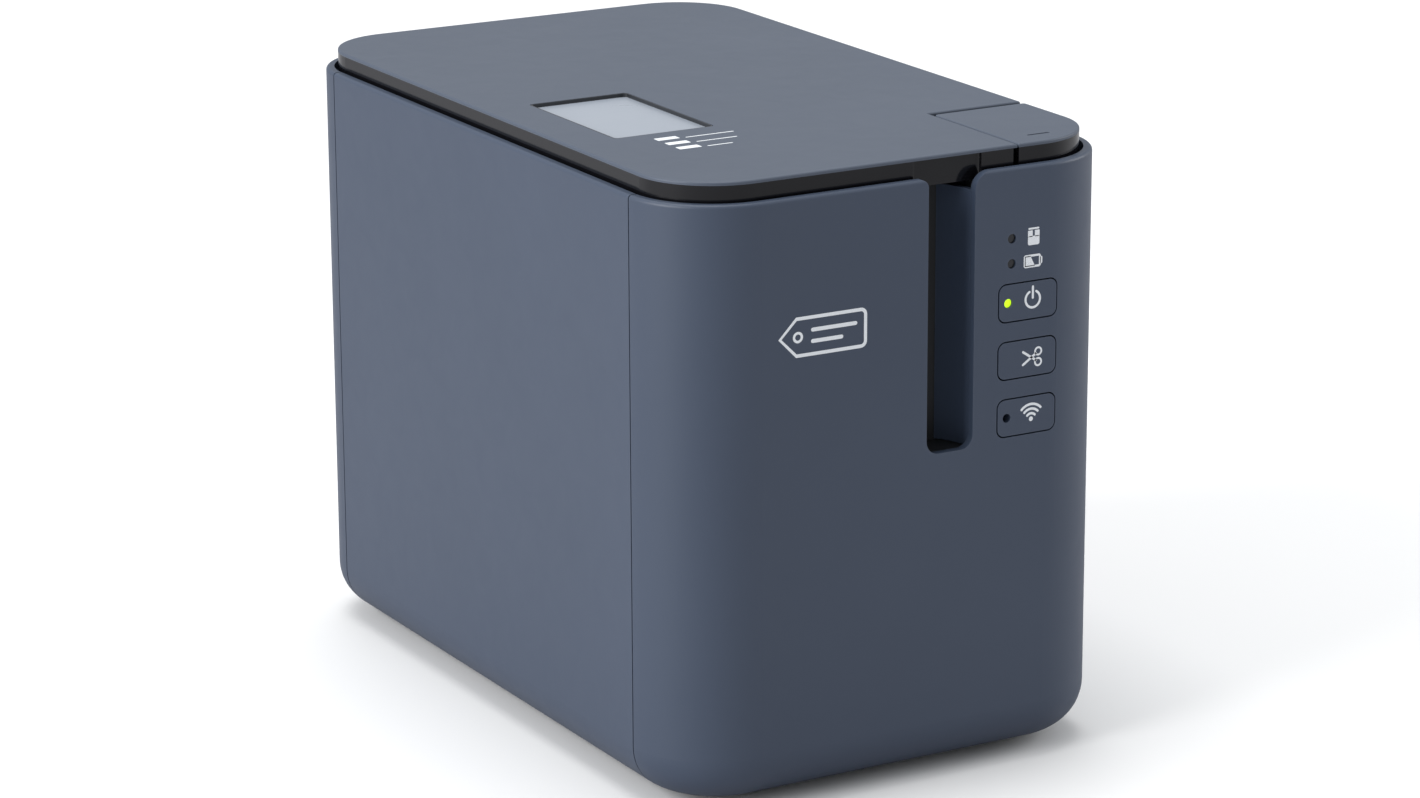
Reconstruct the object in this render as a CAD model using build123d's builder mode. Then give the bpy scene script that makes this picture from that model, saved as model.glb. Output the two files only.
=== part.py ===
"""Desktop label maker: cased tape printer with a hinged lid, a tape cassette,
a thermal print head, a roller drive, a tape cutter and a rear socket board.

Frame: millimetres, +Z up, front face towards -Y, +X to the right seen from the
front, origin at the middle of the footprint on the surface that it stands on.
"""

import math
import os

from build123d import *

# ---------------------------------------------------------------- case sizes
case_width = 118.0
case_depth = 192.0
overall_height = 146.0
foot_height = 2.0
lid_rise = 4.5
corner_radius = 21.5
bottom_radius = 11.5
wall = 2.0
seam_from_end = 21.0
seam_gap = 0.4
top_edge_radius = 0.9
tongue_width = 5.0
tongue_thickness = 1.4
tongue_gap = 0.35

case_bottom = foot_height
case_top = overall_height - lid_rise
front_y = -case_depth / 2
rear_y = case_depth / 2
seam_y = case_depth / 2 - seam_from_end
inner_x = case_width / 2 - wall
inner_front_y = front_y + wall
inner_rear_y = rear_y - wall
inner_bottom = case_bottom + wall
whole_width = (-case_width, case_width)

# ---------------------------------------------------------------- base and feet
base_clearance = 0.2
base_width = case_width - 2 * bottom_radius - 3.0
base_depth = case_depth - 2 * bottom_radius - 3.0
base_radius = corner_radius - bottom_radius
base_lip = 1.0
base_lip_height = 1.5
foot_radius = 6.0
foot_inset = 9.0
foot_seat = 0.6

# ---------------------------------------------------------------- lid
lid_gap = 1.0
lid_inset = wall + lid_gap
lid_plate_thickness = 0.8
rim_depth = 7.0
rim_wall = 1.6
lid_edge_radius = 0.45
lid_radius = corner_radius - lid_inset
lid_top = overall_height
plate_bottom = lid_top - lid_plate_thickness
rim_bottom = lid_top - rim_depth
lid_front_y = front_y + lid_inset
lid_rear_y = rear_y - lid_inset
lid_side_x = case_width / 2 - lid_inset
window_width = 26.0
window_length = 42.0
window_x = 27.7 - case_width / 2
window_y = front_y + 74.9
window_sink = 0.9
window_thickness = 1.2
window_ledge = 1.4
window_gap = 0.15
scoop_left = 3.0
scoop_right = 21.0
scoop_depth = 1.1
scoop_radius = 1.0
hinge_from_rear = 14.0
hinge_lift = 1.0
hinge_y = rear_y - hinge_from_rear
hinge_z = case_top + hinge_lift
hinge_pin_radius = 1.25
hinge_fit = 0.05
hinge_knuckle_radius = 2.4
hinge_bracket_x = case_width / 2 - 17.0
hinge_bracket_width = 3.0
hinge_ear_width = 4.0
hinge_side_gap = 1.0
hinge_ear_x = hinge_bracket_x + hinge_bracket_width / 2 + hinge_side_gap + hinge_ear_width / 2
hinge_pin_end = hinge_ear_x + 1.5

# ---------------------------------------------------------------- cover-open button
open_left = 31.0
open_rear = front_y + 38.5
open_gap_left = 0.5
open_gap_rear = 1.9
open_rim_gap = 1.5
open_height = 9.0
open_wall = 1.5
open_travel = 2.5
bar_width = 6.1
bar_depth = 0.8
bar_sink = 0.3
bar_x = open_left + 9.5
bar_y = front_y + 9.5

# ---------------------------------------------------------------- front controls
groove_left = 5.3
groove_right = 17.6
groove_bottom = 77.8
groove_radius = 3.2
groove_left_top_radius = 2.0
groove_right_top_radius = 4.2
groove_depth = 11.0
cheek_shift = 3.4
groove_clearance = 1.7
cheek_thickness = 1.4
button_left = 24.3
button_width = 15.4
button_height = 8.5
button_radius = 1.8
button_pitch = 13.45
wireless_button_z = 83.4
button_gap = 0.35
button_flange = 0.9
button_flange_gap = 0.3
button_flange_thickness = 1.0
button_led_x = 26.7
status_led_x = 27.5
status_led_z = (119.4, 125.2)
pipe_radius = 1.05
pipe_fit = 0.06
pipe_sink = 0.5
button_names = ("wireless", "cut", "power")
button_x = button_left + button_width / 2

# ---------------------------------------------------------------- cassette and bay
tape_x = 11.0
tape_width = 36.0
tape_thickness = 0.16
tape_gap = 0.12
tape_edge_room = 5.0
bay_wall = 2.0
bay_floor_top = 82.0
bay_front = front_y + 24.0
deck_top = rim_bottom - 0.4
deck_thickness = 2.0
deck_edge_gap = 0.4
trough_ahead = 8.0
trough_front = hinge_y - trough_ahead
trough_floor = rim_bottom - 10.0
cassette_left = tape_x - 61.0
cassette_right = tape_x - 8.0
cassette_front = bay_front + 6.0
cassette_rear = cassette_front + 96.0
cassette_height = tape_width + 2 * tape_edge_room
cassette_wall = 1.5
bay_gap = 2.0
bay_left = cassette_left - bay_gap
bay_rear = cassette_rear + bay_gap
cassette_bottom = bay_floor_top
cassette_top = cassette_bottom + cassette_height
tape_bottom = cassette_bottom + (cassette_height - tape_width) / 2
tape_top = tape_bottom + tape_width
slit_width = 2.4
slit_margin = 1.0
label_thickness = 0.3
label_width = 39.0
label_length = 72.0
label_margin = 3.0
label_corner = 2.0

# ---------------------------------------------------------------- drive
plate_top = 71.6
plate_thickness = 1.6
gear_module = 0.6
gear_bottom = plate_top + 0.6
gear_top = gear_bottom + 5.0
pinion_teeth = 12
idler_teeth = 40
platen_teeth = 24
spindle_teeth = 32
platen_radius = 4.5
platen_y = bay_front + 32.0
feed_radius = 4.0
feed_y = platen_y - 14.0
shaft_radius = 1.5
shaft_fit = 0.05
motor_radius = 17.5
motor_length = 21.0
holder_gap = 0.8
holder_thickness = 1.6
platen_x = tape_x + tape_thickness / 2 + tape_gap + platen_radius
holder_back_x = platen_x + platen_radius + holder_gap
swing_pivot_x = holder_back_x + 1.0
swing_pivot_y = platen_y + 32.0
bay_right = swing_pivot_x + 6.0

# ---------------------------------------------------------------- cutter
blade_thickness = 1.1
blade_pivot_x = 13.0
blade_pivot_z = 74.0
blade_swing = 20.0
sector_teeth = 60
cutter_pinion_teeth = 12
cutter_motor_radius = 10.0
cutter_motor_length = 24.0
frame_plate = 1.2

# ---------------------------------------------------------------- boards
board_thickness = 1.6
board_z = 14.0
switch_board_setback = 9.0
switch_board_y = front_y + switch_board_setback
standoff_radius = 3.0


def block(x, y, z, mode=Mode.ADD):
    """Box between a low and a high limit on each axis, in the part being built."""
    with Locations(((x[0] + x[1]) / 2, (y[0] + y[1]) / 2, (z[0] + z[1]) / 2)):
        Box(x[1] - x[0], y[1] - y[0], z[1] - z[0], mode=mode)


def upright(x, y, z, radius, mode=Mode.ADD):
    """Vertical cylinder between two heights, in the part being built."""
    with Locations((x, y, (z[0] + z[1]) / 2)):
        Cylinder(radius, z[1] - z[0], mode=mode)


def lengthwise(x, y, z, radius, mode=Mode.ADD):
    """Cylinder along Y between two limits, in the part being built."""
    with Locations((x, (y[0] + y[1]) / 2, z)):
        Cylinder(radius, y[1] - y[0], rotation=(90, 0, 0), mode=mode)


def crosswise(x, y, z, radius, mode=Mode.ADD):
    """Cylinder along X between two limits, in the part being built."""
    with Locations(((x[0] + x[1]) / 2, y, z)):
        Cylinder(radius, x[1] - x[0], rotation=(0, 90, 0), mode=mode)


def gear_face(teeth, centre, turn):
    """Straight-flanked spur gear outline with a tooth pointing at the angle turn."""
    pitch_radius = gear_module * teeth / 2
    outline = (
        (pitch_radius - 1.05 * gear_module, -1.0),
        (pitch_radius + 0.75 * gear_module, -0.36),
        (pitch_radius + 0.75 * gear_module, 0.36),
        (pitch_radius - 1.05 * gear_module, 1.0),
    )
    points = []
    for tooth in range(teeth):
        middle = math.radians(turn + tooth * 360 / teeth)
        for radius, half_width in outline:
            angle = middle + half_width * gear_module / radius
            points.append((centre[0] + radius * math.cos(angle), centre[1] + radius * math.sin(angle)))
    Polygon(*points, align=None)


def mating_turn(turn, teeth, towards, mate_teeth):
    """Turn of a gear that meshes with one of known turn lying in the direction towards."""
    offset_angle = (turn - towards) % (360 / teeth)
    return towards + 180 - offset_angle * teeth / mate_teeth + 180 / mate_teeth


def keep(builder, name):
    """Label a finished piece and write its STEP file."""
    builder.part.label = name
    export_step(builder.part, f"parts/{name}.step")


os.makedirs("parts", exist_ok=True)

# ================================================================ outer case
# One thin moulded box, later parted into front shell, rear shell and two panels.
with BuildPart() as case_blank:
    with BuildSketch(Plane.XY.offset(case_bottom)):
        RectangleRounded(case_width, case_depth, corner_radius)
    extrude(amount=case_top - case_bottom)
    fillet(case_blank.faces().sort_by(Axis.Z)[0].edges(), bottom_radius)
    offset(amount=-wall, openings=case_blank.faces().sort_by(Axis.Z)[-1])
    fillet(case_blank.faces().sort_by(Axis.Z)[-1].outer_wire().edges(), top_edge_radius)
    with BuildSketch(Plane.XY.offset(case_bottom)):
        RectangleRounded(
            base_width + 2 * base_clearance, base_depth + 2 * base_clearance, base_radius + base_clearance
        )
    extrude(amount=wall, mode=Mode.SUBTRACT)

# Front shell: wraps the front face and both front corners. It carries the tape
# groove with its curved right cheek, the button openings and the two lamp holes.
cheek_inner_x = groove_right - cheek_shift
cheek_rear_y = front_y + groove_depth
mid_wall_y = front_y + wall / 2
through_front = (front_y - 1, inner_front_y + 1)
groove_mouth_top = case_top + 1.0
button_centres = [wireless_button_z + index * button_pitch for index in range(len(button_names))]
board_post_x = (21.5, 46.5)
board_post_z = (73.5, 130.5)
post_radius = 1.8
post_slope = 0.22
flat_half = case_width / 2 - corner_radius

with BuildPart() as front_shell:
    add(case_blank.part)
    block(whole_width, (-case_depth, -seam_y - seam_gap / 2), (0, overall_height), Mode.INTERSECT)
    with BuildSketch(Plane.XY.offset(groove_bottom)):
        with BuildLine():
            visible_side = TangentArc(
                (groove_right, mid_wall_y),
                (cheek_inner_x, cheek_rear_y),
                tangent=(0, 1),
            )
            hidden_side = TangentArc(
                (groove_right + cheek_thickness, mid_wall_y),
                (cheek_inner_x + cheek_thickness, cheek_rear_y),
                tangent=(0, 1),
            )
            Line(visible_side @ 0, hidden_side @ 0)
            Line(visible_side @ 1, hidden_side @ 1)
        make_face()
    extrude(amount=case_top - groove_bottom - groove_right_top_radius)
    with BuildSketch(Plane.XZ.offset(-front_y)) as groove_opening:
        with BuildLine():
            left_lip = TangentArc(
                (groove_left - groove_left_top_radius, case_top),
                (groove_left, case_top - groove_left_top_radius),
                tangent=(1, 0),
            )
            right_lip = TangentArc(
                (groove_right + groove_right_top_radius, case_top),
                (groove_right, case_top - groove_right_top_radius),
                tangent=(-1, 0),
            )
            Polyline(left_lip @ 1, (groove_left, groove_bottom), (groove_right, groove_bottom), right_lip @ 1)
            Polyline(
                left_lip @ 0,
                (groove_left - groove_left_top_radius, groove_mouth_top),
                (groove_right + groove_right_top_radius, groove_mouth_top),
                right_lip @ 0,
            )
        make_face()
        fillet(groove_opening.vertices().group_by(Axis.Y)[0], groove_radius)
    extrude(amount=-wall - 0.01, mode=Mode.SUBTRACT)
    with BuildSketch(Plane.XZ.offset(-front_y)):
        for centre_z in button_centres:
            with Locations((button_x, centre_z)):
                RectangleRounded(
                    button_width + 2 * button_gap, button_height + 2 * button_gap, button_radius + button_gap
                )
    extrude(amount=-wall - 0.5, mode=Mode.SUBTRACT)
    for lamp_z in status_led_z:
        lengthwise(status_led_x, through_front, lamp_z, pipe_radius + pipe_fit, Mode.SUBTRACT)
    for post_x in board_post_x:
        post_front = inner_front_y - 0.2 + max(0.0, post_x - flat_half) * post_slope
        for post_z in board_post_z:
            lengthwise(post_x, (post_front, switch_board_y), post_z, post_radius)
keep(front_shell, "front_shell")

# Rear shell: wraps the rear corners, with openings for the sockets and a lock slot.
socket_z = board_z + board_thickness
dc_x, usb_x, serial_x = -38.0, -14.0, 8.0
dc_size = (9.0, 11.0)
usb_size = (12.2, 11.0)
serial_size = (13.6, 13.2)
socket_gap = 0.3
socket_depth = 15.0
lock_slot_x = 40.0
lock_slot_z = 30.0
lock_slot_length = 7.0
lock_slot_height = 3.0
sockets = ((dc_x, dc_size), (usb_x, usb_size), (serial_x, serial_size))

with BuildPart() as rear_shell:
    add(case_blank.part)
    block(whole_width, (seam_y + seam_gap / 2, case_depth), (0, overall_height), Mode.INTERSECT)
    for socket_x, (socket_width, socket_height) in sockets:
        block(
            (socket_x - socket_width / 2 - socket_gap, socket_x + socket_width / 2 + socket_gap),
            (inner_rear_y - 1, rear_y + 1),
            (socket_z - socket_gap, socket_z + socket_height + socket_gap),
            Mode.SUBTRACT,
        )
    with BuildSketch(Plane.XZ.offset(-rear_y)):
        with Locations((lock_slot_x, lock_slot_z)):
            SlotOverall(lock_slot_length, lock_slot_height)
    extrude(amount=wall + 0.5, mode=Mode.SUBTRACT)
keep(rear_shell, "rear_shell")

# Side panels: flat panels between the shells, with a tongue behind each seam.
for side, side_name in ((-1, "left"), (1, "right")):
    tongue_x = sorted((side * (inner_x - tongue_thickness), side * inner_x))
    with BuildPart() as side_panel:
        add(case_blank.part)
        block(
            sorted((side * base_width / 4, side * case_width)),
            (-seam_y + seam_gap / 2, seam_y - seam_gap / 2),
            (0, overall_height),
            Mode.INTERSECT,
        )
        for end in (-1, 1):
            block(
                tongue_x,
                sorted((end * (seam_y - tongue_width), end * (seam_y - seam_gap))),
                (inner_bottom + bottom_radius, trough_floor - 4),
            )
            block(
                [x - side * tongue_gap for x in tongue_x],
                sorted((end * (seam_y - tongue_width), end * (seam_y + tongue_width / 2))),
                (inner_bottom + bottom_radius, trough_floor - 4),
            )
    keep(side_panel, f"{side_name}_side_panel")

# Base tray: the flat underside, let into the shells, with bosses for the pillars.
pillar_x = 42.0
pillar_front_y = bay_front + 10.0
pillar_rear_y = rear_y - 44.0
pillar_radius = 4.0
pillar_top = plate_top - plate_thickness
pillar_bottom = inner_bottom + base_lip_height
screw_radius = 1.4
screw_head_radius = 2.8
screw_head_height = 1.6
screw_length = 12.0
pillars = [(x, y) for x in (-pillar_x, pillar_x) for y in (pillar_front_y, pillar_rear_y)]
foot_x = base_width / 2 - foot_inset
foot_y = base_depth / 2 - foot_inset
feet = [(x, y) for x in (-foot_x, foot_x) for y in (-foot_y, foot_y)]

board_rear = inner_rear_y - 0.6
board_length = 117.4
board_front = board_rear - board_length
standoff_x = 30.0
standoffs = [(x, y) for x in (-standoff_x, standoff_x) for y in (board_front + 6.0, board_rear - 19.4)]

with BuildPart() as base_tray:
    with BuildSketch(Plane.XY.offset(case_bottom)):
        RectangleRounded(base_width, base_depth, base_radius)
    extrude(amount=wall)
    with BuildSketch(Plane.XY.offset(inner_bottom)):
        RectangleRounded(base_width + 2 * base_lip, base_depth + 2 * base_lip, base_radius + base_lip)
    extrude(amount=base_lip_height)
    for foot in feet:
        upright(*foot, (case_bottom - 1, case_bottom + foot_seat), foot_radius + 0.1, Mode.SUBTRACT)
    for pillar in pillars:
        upright(*pillar, (0, board_z), screw_radius, Mode.SUBTRACT)
        upright(*pillar, (0, case_bottom + screw_head_height), screw_head_radius + 0.2, Mode.SUBTRACT)
    for standoff in standoffs:
        upright(*standoff, (inner_bottom, board_z), standoff_radius)
keep(base_tray, "base_tray")

with BuildPart() as rubber_feet:
    for foot in feet:
        upright(*foot, (0, case_bottom + foot_seat), foot_radius)
    fillet(rubber_feet.faces().group_by(Axis.Z)[0].edges(), 0.6)
keep(rubber_feet, "rubber_feet")

with BuildPart() as frame_pillars:
    for pillar in pillars:
        upright(*pillar, (pillar_bottom, pillar_top), pillar_radius)
        upright(*pillar, (pillar_bottom, pillar_bottom + screw_length), screw_radius, Mode.SUBTRACT)
        upright(*pillar, (pillar_top - screw_length, pillar_top), screw_radius, Mode.SUBTRACT)
keep(frame_pillars, "frame_pillars")

with BuildPart() as base_screws:
    for pillar in pillars:
        head_top = case_bottom + screw_head_height
        upright(*pillar, (case_bottom + 0.1, head_top), screw_head_radius)
        upright(*pillar, (head_top, pillar_bottom + screw_length - 2), screw_radius)
keep(base_screws, "base_screws")

# ================================================================ drive
# Gear centres: the idler lies between the motor pinion, the platen roller's gear
# and the ribbon spindle's gear, all in the gap under the cassette bay.
feed_x = tape_x - tape_thickness / 2 - tape_gap - feed_radius
pinch_x = tape_x + tape_thickness / 2 + tape_gap + feed_radius
idler_x = platen_x - gear_module * (idler_teeth + platen_teeth) / 2
idler_y = platen_y
motor_x = idler_x
motor_y = idler_y + gear_module * (idler_teeth + pinion_teeth) / 2
spindle_x = idler_x - gear_module * (idler_teeth + spindle_teeth) / 2
spindle_y = idler_y
idler_turn = 0.0
stud_radius = 2.0
motor_shaft_radius = 1.5

# Drive plate: steel plate on the pillars, with the idler stud riveted in.
drive_half_width = pillar_x + 8.0
drive_front = bay_front - bay_wall - 0.4
drive_rear = pillar_rear_y + 8.0
drive_corner = 4.0
drive_window_half = 34.0
drive_window_length = 42.0
drive_window_rear = drive_rear - 18.0
motor_hole_radius = 6.0

with BuildPart() as drive_plate:
    block((-drive_half_width, drive_half_width), (drive_front, drive_rear), (pillar_top, plate_top))
    fillet(drive_plate.edges().filter_by(Axis.Z), drive_corner)
    upright(idler_x, idler_y, (plate_top, gear_top + 0.5), stud_radius)
    upright(motor_x, motor_y, (pillar_top - 1, plate_top + 1), motor_hole_radius, Mode.SUBTRACT)
    for pillar in pillars:
        upright(*pillar, (pillar_top - 1, plate_top + 1), screw_radius, Mode.SUBTRACT)
    block(
        (-drive_window_half, drive_window_half),
        (drive_window_rear - drive_window_length, drive_window_rear),
        (pillar_top - 1, plate_top + 1),
        Mode.SUBTRACT,
    )
keep(drive_plate, "drive_plate")

with BuildPart() as plate_screws:
    for pillar in pillars:
        upright(*pillar, (plate_top, plate_top + screw_head_height), screw_head_radius)
        upright(*pillar, (plate_top - screw_length + 3, plate_top), screw_radius)
keep(plate_screws, "plate_screws")

motor_top = pillar_top
with BuildPart() as feed_motor:
    upright(motor_x, motor_y, (motor_top - motor_length, motor_top), motor_radius)
    fillet(feed_motor.edges().filter_by(GeomType.CIRCLE), 1.0)
    upright(motor_x, motor_y, (motor_top, plate_top), motor_hole_radius - 0.2)
    upright(motor_x, motor_y, (motor_top - 8, plate_top + 1), motor_shaft_radius + shaft_fit, Mode.SUBTRACT)
keep(feed_motor, "feed_motor")

with BuildPart() as motor_pinion:
    with BuildSketch(Plane.XY.offset(gear_bottom)):
        gear_face(pinion_teeth, (motor_x, motor_y), mating_turn(idler_turn, idler_teeth, 90, pinion_teeth))
    extrude(amount=gear_top - gear_bottom)
    upright(motor_x, motor_y, (motor_top - 7, gear_top + 0.5), motor_shaft_radius)
keep(motor_pinion, "motor_pinion")

with BuildPart() as idler_gear:
    with BuildSketch(Plane.XY.offset(gear_bottom)):
        gear_face(idler_teeth, (idler_x, idler_y), idler_turn)
    extrude(amount=gear_top - gear_bottom)
    upright(idler_x, idler_y, (0, overall_height), stud_radius + shaft_fit, Mode.SUBTRACT)
keep(idler_gear, "idler_gear")

# Platen roller: rubber sleeve on a steel shaft that carries its gear below the bay.
roller_bottom = tape_bottom - 0.5
roller_top = tape_top + 0.5
holder_bottom = bay_floor_top + 0.6
holder_plate = 1.6
holder_top = tape_top + 4.0
shaft_top = holder_top + 1.0

with BuildPart() as platen_roller:
    upright(platen_x, platen_y, (roller_bottom, roller_top), platen_radius)
    upright(platen_x, platen_y, (0, overall_height), shaft_radius + 1.0, Mode.SUBTRACT)
    fillet(platen_roller.edges().filter_by(GeomType.CIRCLE).sort_by(Axis.Z)[0], 0.3)
keep(platen_roller, "platen_roller")

with BuildPart() as platen_shaft:
    upright(platen_x, platen_y, (gear_bottom, shaft_top), shaft_radius)
    upright(platen_x, platen_y, (roller_bottom, roller_top), shaft_radius + 1.0)
    with BuildSketch(Plane.XY.offset(gear_bottom)):
        gear_face(platen_teeth, (platen_x, platen_y), mating_turn(idler_turn, idler_teeth, 0, platen_teeth))
    extrude(amount=gear_top - gear_bottom)
keep(platen_shaft, "platen_shaft")

with BuildPart() as pinch_roller:
    upright(pinch_x, feed_y, (roller_bottom, roller_top), feed_radius)
    upright(pinch_x, feed_y, (holder_bottom + 0.3, shaft_top), shaft_radius)
keep(pinch_roller, "pinch_roller")

# Roller holder: swings on an upright pin and carries both rollers off the head.
pivot_radius = 1.5
pivot_hub = 3.2
holder_tape_gap = 1.6
holder_reach = 7.0
holder_front = feed_y - feed_radius - 1.5

with BuildPart() as roller_holder:
    for plate_z in (holder_bottom, holder_top - holder_plate):
        block(
            (tape_x + holder_tape_gap, holder_back_x + holder_thickness / 2),
            (holder_front, platen_y + holder_reach),
            (plate_z, plate_z + holder_plate),
        )
    block(
        (holder_back_x, holder_back_x + holder_thickness),
        (holder_front, swing_pivot_y + 1),
        (holder_bottom, holder_top),
    )
    upright(swing_pivot_x, swing_pivot_y, (holder_bottom, holder_top), pivot_hub)
    upright(swing_pivot_x, swing_pivot_y, (0, overall_height), pivot_radius + shaft_fit, Mode.SUBTRACT)
    for roller_x, roller_y in ((platen_x, platen_y), (pinch_x, feed_y)):
        upright(roller_x, roller_y, (0, overall_height), shaft_radius + shaft_fit, Mode.SUBTRACT)
keep(roller_holder, "roller_holder")

with BuildPart() as holder_pivot_pin:
    upright(swing_pivot_x, swing_pivot_y, (plate_top, holder_top + 1.5), pivot_radius)
keep(holder_pivot_pin, "holder_pivot_pin")

# Ribbon spindle: geared post that stands up through the bay floor.
spindle_radius = 2.5
spindle_top = cassette_top - 8.0
with BuildPart() as ribbon_spindle:
    with BuildSketch(Plane.XY.offset(gear_bottom)):
        gear_face(
            spindle_teeth,
            (spindle_x, spindle_y),
            mating_turn(idler_turn, idler_teeth, 180, spindle_teeth),
        )
    extrude(amount=gear_top - gear_bottom)
    upright(spindle_x, spindle_y, (gear_top, spindle_top), spindle_radius)
    chamfer(ribbon_spindle.faces().sort_by(Axis.Z)[-1].edges(), 1.0)
keep(ribbon_spindle, "ribbon_spindle")

# Print head: ceramic strip on an aluminium heat sink that stands on the drive plate.
head_half = 6.0
head_face_x = tape_x - tape_thickness / 2 - tape_gap
head_thickness = 1.2
sink_left = cassette_right + 1.4
with BuildPart() as head_heat_sink:
    block(
        (sink_left, head_face_x - head_thickness),
        (platen_y - head_half, platen_y + head_half),
        (gear_top + 0.8, tape_top + 2),
    )
    fillet(head_heat_sink.edges().filter_by(Axis.Z).group_by(Axis.X)[0], 1.2)
    for fin in range(3):
        block(
            (sink_left - 1, sink_left + 1.6),
            (platen_y - head_half + 2.2 + fin * 3.2, platen_y - head_half + 3.4 + fin * 3.2),
            (bay_floor_top + 4, overall_height),
            Mode.SUBTRACT,
        )
keep(head_heat_sink, "head_heat_sink")

with BuildPart() as print_head:
    block(
        (head_face_x - head_thickness, head_face_x),
        (platen_y - head_half + 0.5, platen_y + head_half - 0.5),
        (tape_bottom - 1, tape_top + 1),
    )
    chamfer(print_head.edges().filter_by(Axis.Z).group_by(Axis.X)[-1], 0.5)
keep(print_head, "print_head")

# ================================================================ cassette bay
# Deep moulding: deck under the lid, pocket for the cassette and the rollers, a
# well for the cover-open button and a low shelf for the lid's tail behind.
deck_inset = wall + deck_edge_gap
well_clearance = 0.35
well_left = open_left - well_clearance
well_rear = open_rear + well_clearance
well_floor = rim_bottom - 12.0
well_shelf = 2.0
well_top = well_floor + well_shelf
well_front = switch_board_y + board_thickness + 0.8
tail_half_width = 3.0
hook_arm = 7.0
spring_x = open_left + 14.0
spring_y = open_rear - 18.5
spring_post_radius = 2.2
latch_x = bay_right + 9.0
latch_z = rim_bottom - 13.0
hook_width = 5.0
tail_x = latch_x + hook_arm
latch_front = open_rear + 4.5
latch_rear = latch_front + hook_width
latch_gap = 0.5
lug_thickness = 1.6
latch_pin_radius = 1.2
lug_left = bay_right + bay_wall
lug_top = latch_z + 3.0
lug_bottom = latch_z - 4.0
shaft_slot = 2.6
shelf_overhang = 4.0
bracket_rear = hinge_y - 2.3
bracket_arm_height = 6.0

with BuildPart() as cassette_bay:
    with BuildSketch(Plane.XY.offset(deck_top - deck_thickness)):
        RectangleRounded(case_width - 2 * deck_inset, case_depth - 2 * deck_inset, corner_radius - deck_inset)
    extrude(amount=deck_thickness)
    block(whole_width, (trough_front, case_depth), (trough_floor, overall_height), Mode.SUBTRACT)
    block(
        (bay_left - bay_wall, bay_right + bay_wall),
        (bay_front - bay_wall, bay_rear + bay_wall),
        (bay_floor_top - bay_wall, deck_top),
    )
    block(
        (-inner_x + deck_edge_gap, inner_x - deck_edge_gap),
        (trough_front, trough_front + bay_wall),
        (trough_floor - bay_wall, deck_top),
    )
    block(
        (-hinge_bracket_x - shelf_overhang, hinge_bracket_x + shelf_overhang),
        (trough_front, hinge_y + shelf_overhang),
        (trough_floor - bay_wall, trough_floor),
    )
    block((bay_left, bay_right), (bay_front, bay_rear), (bay_floor_top, overall_height), Mode.SUBTRACT)
    block(
        (well_left - bay_wall, inner_x - 6),
        (well_front, well_rear + bay_wall),
        (well_floor, deck_top),
    )
    block((well_left, case_width), (-case_depth, well_rear), (well_top, overall_height), Mode.SUBTRACT)
    upright(spring_x, spring_y, (well_floor, well_top + 5), spring_post_radius)
    for lug_front in (latch_front - latch_gap - lug_thickness, latch_rear + latch_gap):
        block((lug_left - 0.5, latch_x + 2.6), (lug_front, lug_front + lug_thickness), (lug_bottom, lug_top))
    lengthwise(
        latch_x,
        (latch_front - 2 * hook_width, latch_rear + 2 * hook_width),
        latch_z,
        latch_pin_radius + shaft_fit,
        Mode.SUBTRACT,
    )
    block(
        (lug_left, latch_x + 12),
        (latch_front - latch_gap, latch_rear + latch_gap),
        (well_floor - 10, overall_height),
        Mode.SUBTRACT,
    )
    block(
        (tail_x - tail_half_width - well_clearance, tail_x + tail_half_width + well_clearance),
        (well_rear - 1, latch_rear + latch_gap),
        (lid_top - open_height - open_travel - well_clearance, overall_height),
        Mode.SUBTRACT,
    )
    block(
        (groove_left - groove_clearance, groove_right + cheek_thickness + tongue_gap),
        (-case_depth, cheek_rear_y + groove_clearance),
        (0, overall_height),
        Mode.SUBTRACT,
    )
    for side in (-1, 1):
        bracket = sorted((
            side * (hinge_bracket_x - hinge_bracket_width / 2),
            side * (hinge_bracket_x + hinge_bracket_width / 2),
        ))
        block(bracket, (trough_front + bay_wall / 2, bracket_rear), (trough_floor - 1, hinge_z))
        block(bracket, (bracket_rear - 1, hinge_y), (hinge_z - bracket_arm_height, hinge_z))
        crosswise(bracket, hinge_y, hinge_z, hinge_knuckle_radius)
        crosswise(bracket, hinge_y, hinge_z, hinge_pin_radius + hinge_fit, Mode.SUBTRACT)
    block(
        (tape_x - slit_width / 2, tape_x + slit_width / 2),
        (bay_front - bay_wall - 1, bay_front + 1),
        (tape_bottom - slit_margin, tape_top + slit_margin),
        Mode.SUBTRACT,
    )
    upright(spindle_x, spindle_y, (0, bay_floor_top + 1), spindle_radius + 0.5, Mode.SUBTRACT)
    upright(swing_pivot_x, swing_pivot_y, (0, bay_floor_top + 1), pivot_radius + 0.1, Mode.SUBTRACT)
    block(
        (platen_x - shaft_radius - 0.6, platen_x + shaft_radius + shaft_slot),
        (platen_y - shaft_radius - 0.8, platen_y + shaft_radius + 0.8),
        (0, bay_floor_top + 1),
        Mode.SUBTRACT,
    )
    block(
        (sink_left - 0.1, head_face_x - head_thickness + 0.1),
        (platen_y - head_half - 0.1, platen_y + head_half + 0.1),
        (0, bay_floor_top + 1),
        Mode.SUBTRACT,
    )
keep(cassette_bay, "cassette_bay")

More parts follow.
